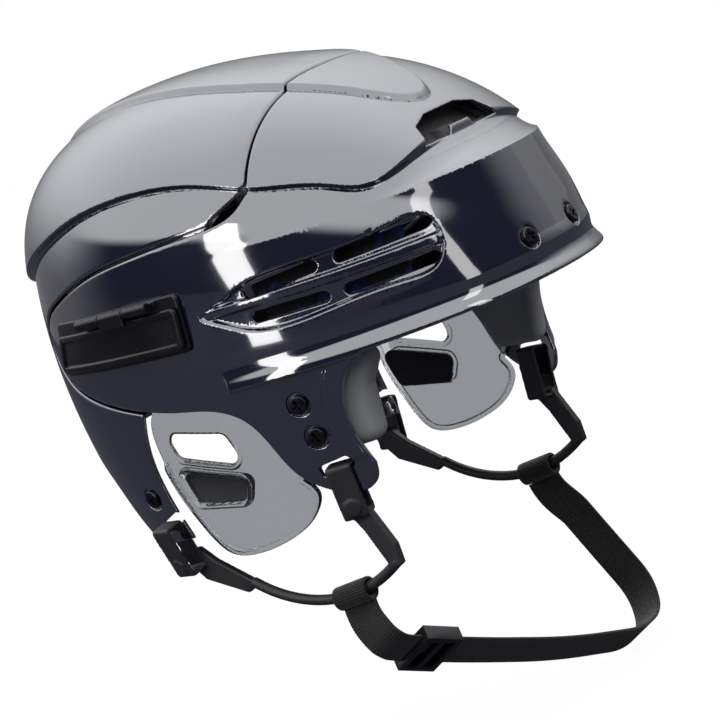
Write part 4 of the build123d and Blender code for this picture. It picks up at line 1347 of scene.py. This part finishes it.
def start_material(name, **values):
    """A material with one shader, and the coordinates that its patterns read."""
    made = bpy.data.materials.new(name)
    made.use_nodes = True
    tree = made.node_tree
    tree.nodes.clear()
    names = {"ior": "IOR", "metallic": "Metallic", "base": "Base Color", "coat": "Coat Weight",
             "coat_roughness": "Coat Roughness", "coat_ior": "Coat IOR", "sheen": "Sheen Weight",
             "sheen_roughness": "Sheen Roughness", "transmission": "Transmission Weight"}
    shader = node(tree, "BsdfPrincipled", {names[k]: v for k, v in values.items()})
    node(tree, "OutputMaterial", links={"Surface": shader.outputs[0]})
    place = node(tree, "TexCoord")
    return made, tree, shader, place.outputs["Object"]


def told(*made):
    """Print how many nodes each material has."""
    for material in made:
        print(material.name, "has", len(material.node_tree.nodes), "nodes")


print("navy in linear light:", [round(part, 4) for part in colour("#0d0f2b")[:3]])

# %% [markdown]
# Nothing real has one even gloss or colour. These helpers let the roughness drift between
# two levels over spots of a real size, add a bump of a real depth, and mix two close colours.

# %% Drift, bump and tint
def mottled(tree, shader, where, size_mm, low, high, detail=4.0):
    """Let the roughness drift between two levels over spots of a real size."""
    noise = node(tree, "TexNoise", {"Scale": 1000 / size_mm, "Detail": detail}, {"Vector": where})
    span = node(tree, "MapRange", {"From Min": 0.3, "From Max": 0.7, "To Min": low, "To Max": high},
                {"Value": noise.outputs["Fac"]})
    tree.links.new(span.outputs[0], shader.inputs["Roughness"])
    return noise


def bumped(tree, shader, height, depth_mm, strength=1.0):
    """Let a height of 1 stand out by a depth in millimetres."""
    bump = node(tree, "Bump", {"Strength": strength, "Distance": depth_mm / 1000}, {"Height": height})
    tree.links.new(bump.outputs[0], shader.inputs["Normal"])


def tinted(tree, shader, factor, first, second):
    """Mix two close colours by a factor between 0 and 1."""
    mix = node(tree, "Mix", data_type="RGBA")
    mix.inputs[6].default_value, mix.inputs[7].default_value = colour(first), colour(second)
    tree.links.new(factor, mix.inputs[0])
    tree.links.new(mix.outputs[2], shader.inputs["Base Color"])


print("materials so far:", [material.name for material in bpy.data.materials])

# %% [markdown]
# The shells are injection-moulded ABS with a polished tool finish, in a navy so deep that
# it reads as black away from the light. A faint orange peel, 9 mm across, keeps long
# reflections from looking like a mirror, and thin dust softens them in places.

# %% Gloss shell
def gloss_shell():
    made, tree, shader, where = start_material("polished_navy_abs", ior=2.3, coat=1.0,
                                               coat_roughness=0.03, coat_ior=2.2)
    dust = mottled(tree, shader, where, size_mm=26, low=0.05, high=0.10, detail=6.0)
    tinted(tree, shader, dust.outputs["Fac"], "#0d0f2b", "#131535")
    peel = node(tree, "TexNoise", {"Scale": 1000 / 9, "Detail": 1.0}, {"Vector": where})
    bumped(tree, shader, peel.outputs["Fac"], depth_mm=0.01)
    return made


navy = gloss_shell()
told(navy)

# %% [markdown]
# The latches and the strap's slider are moulded nylon and the slings are soft vinyl, all
# with a fine spark-eroded texture. It scatters the light, so they look satin. The grain
# here is 0.5 mm, coarser than the real one, so that it shows.

# %% Satin plastics
def satin_plastic(name, base, light, rough, grain_mm=0.5, depth_mm=0.02):
    made, tree, shader, where = start_material(name, ior=1.5)
    drift = mottled(tree, shader, where, size_mm=14, low=rough - 0.05, high=rough + 0.07)
    tinted(tree, shader, drift.outputs["Fac"], base, light)
    grain = node(tree, "TexNoise", {"Scale": 1000 / grain_mm, "Detail": 2.0}, {"Vector": where})
    bumped(tree, shader, grain.outputs["Fac"], depth_mm)
    return made


black_nylon = satin_plastic("satin_black_nylon", "#131316", "#1b1b1f", rough=0.22)
soft_vinyl = satin_plastic("satin_black_vinyl", "#2a2a2d", "#353538", rough=0.42)
told(black_nylon, soft_vinyl)

# %% [markdown]
# The ear guards are clear polycarbonate. A see-through colour alone would lose the bright
# edges, so the shader bends the light as the real sheet does. Wipe marks are just seen in
# the roughness, and the surface ripples slightly over 12 mm.

# %% Clear guard
def clear_guard():
    made, tree, shader, where = start_material("clear_polycarbonate", ior=1.58, transmission=1.0,
                                               base=colour("#919498"))
    mottled(tree, shader, where, size_mm=6, low=0.02, high=0.09, detail=3.0)
    ripple = node(tree, "TexNoise", {"Scale": 1000 / 12, "Detail": 1.0}, {"Vector": where})
    bumped(tree, shader, ripple.outputs["Fac"], depth_mm=0.08)
    return made


clear = clear_guard()
told(clear)

# %% [markdown]
# The liner is cross-linked foam with a moulded skin. Closed cells about 0.9 mm across show
# as fine pores, and the skin is quite matt. The foam behind the vents is blue in patches.

# %% Foam
def foam(name, base, light, pore_mm=0.9, depth_mm=0.12, spots=(0.0, 1.0)):
    made, tree, shader, where = start_material(name, ior=1.45, sheen=0.15, sheen_roughness=0.6)
    drift = mottled(tree, shader, where, size_mm=18, low=0.82, high=0.95)
    share = node(tree, "MapRange", {"From Min": spots[0], "From Max": spots[1]},
                 {"Value": drift.outputs["Fac"]})
    cells = node(tree, "TexVoronoi", {"Scale": 1000 / pore_mm}, {"Vector": where})
    both = node(tree, "Math", links={0: cells.outputs["Distance"], 1: drift.outputs["Fac"]},
                operation="MULTIPLY")
    tinted(tree, shader, share.outputs[0], base, light)
    bumped(tree, shader, both.outputs[0], depth_mm, strength=0.7)
    return made


grey_foam = foam("grey_liner_foam", "#96979b", "#a8a9ad")
dark_foam = foam("dark_liner_foam", "#2c2c2e", "#3c3c3e")
blue_foam = foam("blue_vent_foam", "#07080d", "#1c3f80", spots=(0.5, 0.6))
told(grey_foam, dark_foam, blue_foam)

# %% [markdown]
# The webbing is woven polypropylene with ribs across it every 1.1 mm. Along each rib, the
# warp threads cross over and under, 0.7 mm apart. The pattern reads the strap's own UV map,
# which is in metres.

# %% Webbing
RIB_PERIOD, WARP_PERIOD = 0.0011, 0.0014


def wave(tree, along, period):
    """A sine wave with a period in metres."""
    turned = node(tree, "Math", {1: 2 * math.pi / period}, {0: along}, operation="MULTIPLY")
    return node(tree, "Math", links={0: turned.outputs[0]}, operation="SINE").outputs[0]


def webbing_cloth():
    made, tree, shader, _ = start_material("woven_polypropylene", ior=1.48, sheen=0.35,
                                           sheen_roughness=0.4)
    place = node(tree, "UVMap", uv_map="webbing")
    split = node(tree, "SeparateXYZ", links={0: place.outputs[0]})
    ribs = wave(tree, split.outputs["X"], RIB_PERIOD)
    warp = wave(tree, split.outputs["Y"], WARP_PERIOD)
    weave = node(tree, "Math", links={0: ribs, 1: warp}, operation="MULTIPLY")
    height = node(tree, "Math", {1: 0.35}, {0: weave.outputs[0], 2: ribs},
                  operation="MULTIPLY_ADD")
    level = node(tree, "MapRange", {"From Min": -1.3, "From Max": 1.3, "To Min": 0.0, "To Max": 1.0},
                 {"Value": height.outputs[0]})
    # The colour follows the weave's height: painted shade in its hollows and a painted highlight on the
    # ribs' tops, beside the bump.
    tinted(tree, shader, level.outputs[0], "#050506", "#1d1d20")
    drift = node(tree, "TexNoise", {"Scale": 90.0}, {"Vector": place.outputs[0]})
    span = node(tree, "MapRange", {"To Min": 0.55, "To Max": 0.8}, {"Value": drift.outputs["Fac"]})
    tree.links.new(span.outputs[0], shader.inputs["Roughness"])
    bumped(tree, shader, level.outputs[0], depth_mm=0.3)
    return made


woven = webbing_cloth()
told(woven)

# %% [markdown]
# The screws are steel with a black oxide finish, a thin dark layer over metal, so they are
# shiny but dark. Pins and nuts are plain zinc-plated steel.

# %% Metals
def plated_steel(name, base, light, low, high):
    made, tree, shader, where = start_material(name, metallic=1.0)
    drift = mottled(tree, shader, where, size_mm=3, low=low, high=high, detail=3.0)
    tinted(tree, shader, drift.outputs["Fac"], base, light)
    brush = node(tree, "TexNoise", {"Scale": 1000 / 0.4, "Detail": 3.0}, {"Vector": where})
    bumped(tree, shader, brush.outputs["Fac"], depth_mm=0.006)
    return made


oxide = plated_steel("black_oxide_steel", "#38383c", "#505056", low=0.14, high=0.26)
zinc = plated_steel("zinc_plated_steel", "#8f9194", "#b3b5b8", low=0.25, high=0.4)
told(oxide, zinc)

# %% [markdown]
# Each piece gets one material. The
# solids that are hardly seen, such as pins, nuts and racks, keep their own plain shapes and
# only get a finish.

# %% Putting the materials on
def dress(pieces, made):
    """Give pieces one material."""
    for piece in pieces:
        piece.data.materials.clear()
        piece.data.materials.append(made)


def solids(*starts):
    """The CAD nodes whose names start with these words."""
    return [piece for name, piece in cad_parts.items() if name.startswith(starts)]


dress([front_shell, rear_shell], navy)
dress(GUARDS, clear)
dress(BASES + LEVERS, black_nylon)
dress(SLINGS, soft_vinyl)
dress([slider], black_nylon)
dress([strap], woven)
dress(SCREWS, oxide)
for name in ("temple_pad", "brow_pad", "side_pad", "rear_side_pad", "nape_pad", "rear_crown_pad"):
    dress(PADS[name], grey_foam)
dress(PADS["front_crown_pad"], dark_foam)
dress(PADS["vent_pad"], blue_foam)
dress(solids("latch_pin", "brow_nuts", "side_nuts", "rear_nut"), zinc)
dress(solids("size_rack"), black_nylon)
dress(solids("guard_insert"), dark_foam)
print(len(bpy.data.materials), "materials")

# %% [markdown]
# The helmet stands in a bright studio on white paper. What the camera sees and what the
# gloss shell reflects can be set apart: both the floor and the room ask whether a ray comes
# straight from the camera, or through the clear guards, before they answer.

# %% Rays from the camera
def camera_rays(tree):
    """1 for rays that the camera sees directly or through a clear piece."""
    rays = node(tree, "LightPath")
    kinds = {0: rays.outputs["Is Camera Ray"], 1: rays.outputs["Is Transmission Ray"]}
    return node(tree, "Math", links=kinds, operation="MAXIMUM").outputs[0]


def blank_tree(owner):
    """The empty node tree of a material or a world."""
    owner.use_nodes = True
    owner.node_tree.nodes.clear()
    return owner.node_tree


low_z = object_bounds()[0][2]
print("the helmet's lowest point is at", round(low_z, 4), "m")

# %% [markdown]
# The floor is one large plane and glows white for the camera. In reflections it is almost
# black, with a trace of blue, so that the lower parts of the shells stay deep navy.

# %% Floor
bpy.ops.object.select_all(action="DESELECT")
bpy.ops.mesh.primitive_plane_add(size=8, location=(0, 0, low_z - 0.001))
floor = bpy.context.object
floor.name = "studio_floor"
paper = bpy.data.materials.new("white_paper_floor")
tree = blank_tree(paper)
seen = camera_rays(tree)
glow = node(tree, "Emission", {"Color": (1, 1, 1, 1), "Strength": 0.96})
matt = node(tree, "BsdfDiffuse", {"Color": (0.05, 0.05, 0.055, 1)})
trace = node(tree, "Emission", {"Color": (0.012, 0.013, 0.022, 1), "Strength": 1.0})
bright = node(tree, "AddShader", links={0: glow.outputs[0], 1: matt.outputs[0]})
dark = node(tree, "AddShader", links={0: trace.outputs[0], 1: matt.outputs[0]})
pick = node(tree, "MixShader", links={0: seen, 1: dark.outputs[0], 2: bright.outputs[0]})
node(tree, "OutputMaterial", links={"Surface": pick.outputs[0]})
dress([floor], paper)
print(floor.name, "lies 1 mm under the helmet")

# %% [markdown]
# The room is white to the camera. Reflections see a studio instead: on the camera's side it
# is dark up to a third of the way to straight overhead and bright above that, which gives a
# silver crown over deep navy sides. Behind the helmet it grows brighter slowly with height,
# which draws the shell's edges.

# %% Room
NEAR_LIGHT = (0.34, 0.44, 0.03, 1.25)
FAR_LIGHT = (0.0, 0.75, 0.20, 1.40)
AWAY, AWAY_SPAN = (0.81, 0.587, 0), (-0.1, 0.45, 0.0, 1.0)


def ramp(tree, value, span):
    """A soft ramp: from the first two numbers to the last two."""
    names = ("From Min", "From Max", "To Min", "To Max")
    return node(tree, "MapRange", dict(zip(names, span)), {"Value": value},
                interpolation_type="SMOOTHSTEP").outputs[0]


world = bpy.data.worlds.new("studio")
bpy.context.scene.world = world
tree = blank_tree(world)
seen = camera_rays(tree)
place = node(tree, "TexCoord").outputs["Generated"]
height = node(tree, "SeparateXYZ", links={0: place}).outputs["Z"]
away = node(tree, "VectorMath", {1: AWAY}, {0: place}, operation="DOT_PRODUCT")
behind = ramp(tree, away.outputs["Value"], AWAY_SPAN)
level = node(tree, "Mix", links={0: behind, 2: ramp(tree, height, NEAR_LIGHT),
                                 3: ramp(tree, height, FAR_LIGHT)})
room = node(tree, "Background", {"Color": (0.97, 0.98, 1, 1)}, {"Strength": level.outputs[0]})
white = node(tree, "Background", {"Color": (1, 1, 1, 1), "Strength": 1.0})
pick = node(tree, "MixShader", links={0: seen, 1: room.outputs[0], 2: white.outputs[0]})
node(tree, "OutputWorld", links={"Surface": pick.outputs[0]})
print("the room has", len(tree.nodes), "nodes")

# %% [markdown]
# Area lamps do the rest. A broad box overhead lights the foam and the webbing, but is hidden
# from reflections, where its edge would show as a hard line across the crown. A panel and
# two tall strips put streaks on the brow, the wing and the back.

# %% Lamps
def softbox(name, place, width, height, watts):
    """An area lamp that looks at the helmet's middle."""
    light = bpy.data.lights.new(name, "AREA")
    light.energy, light.size, light.shape = watts, width, "RECTANGLE"
    light.size_y = height
    lamp = bpy.data.objects.new(name, light)
    bpy.context.collection.objects.link(lamp)
    lamp.location = place
    lamp.rotation_euler = (-Vector(place)).to_track_quat("-Z", "Y").to_euler()
    return lamp


overhead = softbox("softbox_overhead", (-0.3, -0.2, 1.7), width=3.4, height=3.4, watts=16)
overhead.visible_glossy = False
softbox("panel_front", (1.75, -0.65, 0.5), width=0.9, height=0.9, watts=0.2)
softbox("strip_front", (-0.4, -1.7, 0.5), width=0.30, height=1.6, watts=2.4)
softbox("strip_side", (-1.9, 0.7, 0.4), width=0.35, height=1.6, watts=6)
print(len(bpy.data.lights), "lamps")

# %% [markdown]
# The camera stands 1.6 m away on the wearer's right, a little above the helmet, and is
# turned 20 degrees about its own line of sight, as the helmet leans in the picture. A long
# lens keeps the shells from looking swollen.

# %% Camera
AZIMUTH, ELEVATION, ROLL = math.radians(-54), math.radians(5), math.radians(20)
SCALE, SHOT, PIXELS, MIDDLE_AT = 2.05, 1600.0, 720, (318, 245)
view = Vector((math.sin(AZIMUTH) * math.cos(ELEVATION),
               -math.cos(AZIMUTH) * math.cos(ELEVATION), math.sin(ELEVATION)))
right = Vector((0, 0, 1)).cross(view).normalized()
up = view.cross(right)
right, up = (math.cos(ROLL) * right - math.sin(ROLL) * up,
             math.sin(ROLL) * right + math.cos(ROLL) * up)
aim = ((PIXELS / 2 - MIDDLE_AT[0]) / SCALE * right - (PIXELS / 2 - MIDDLE_AT[1]) / SCALE * up
       - SHOT * view).normalized()
side = aim.cross(up).normalized()
top = side.cross(aim)
shot = bpy.data.cameras.new("camera")
shot.sensor_width, shot.lens = 36.0, SCALE * SHOT / PIXELS * 36
camera = bpy.data.objects.new("camera", shot)
bpy.context.collection.objects.link(camera)
camera.matrix_world = (Matrix.Translation(view * SHOT * MM)
                       @ Matrix([side, top, -aim]).transposed().to_4x4())
bpy.context.scene.camera = camera
bpy.context.scene.view_settings.view_transform = "Standard"
print("lens", round(shot.lens), "mm")
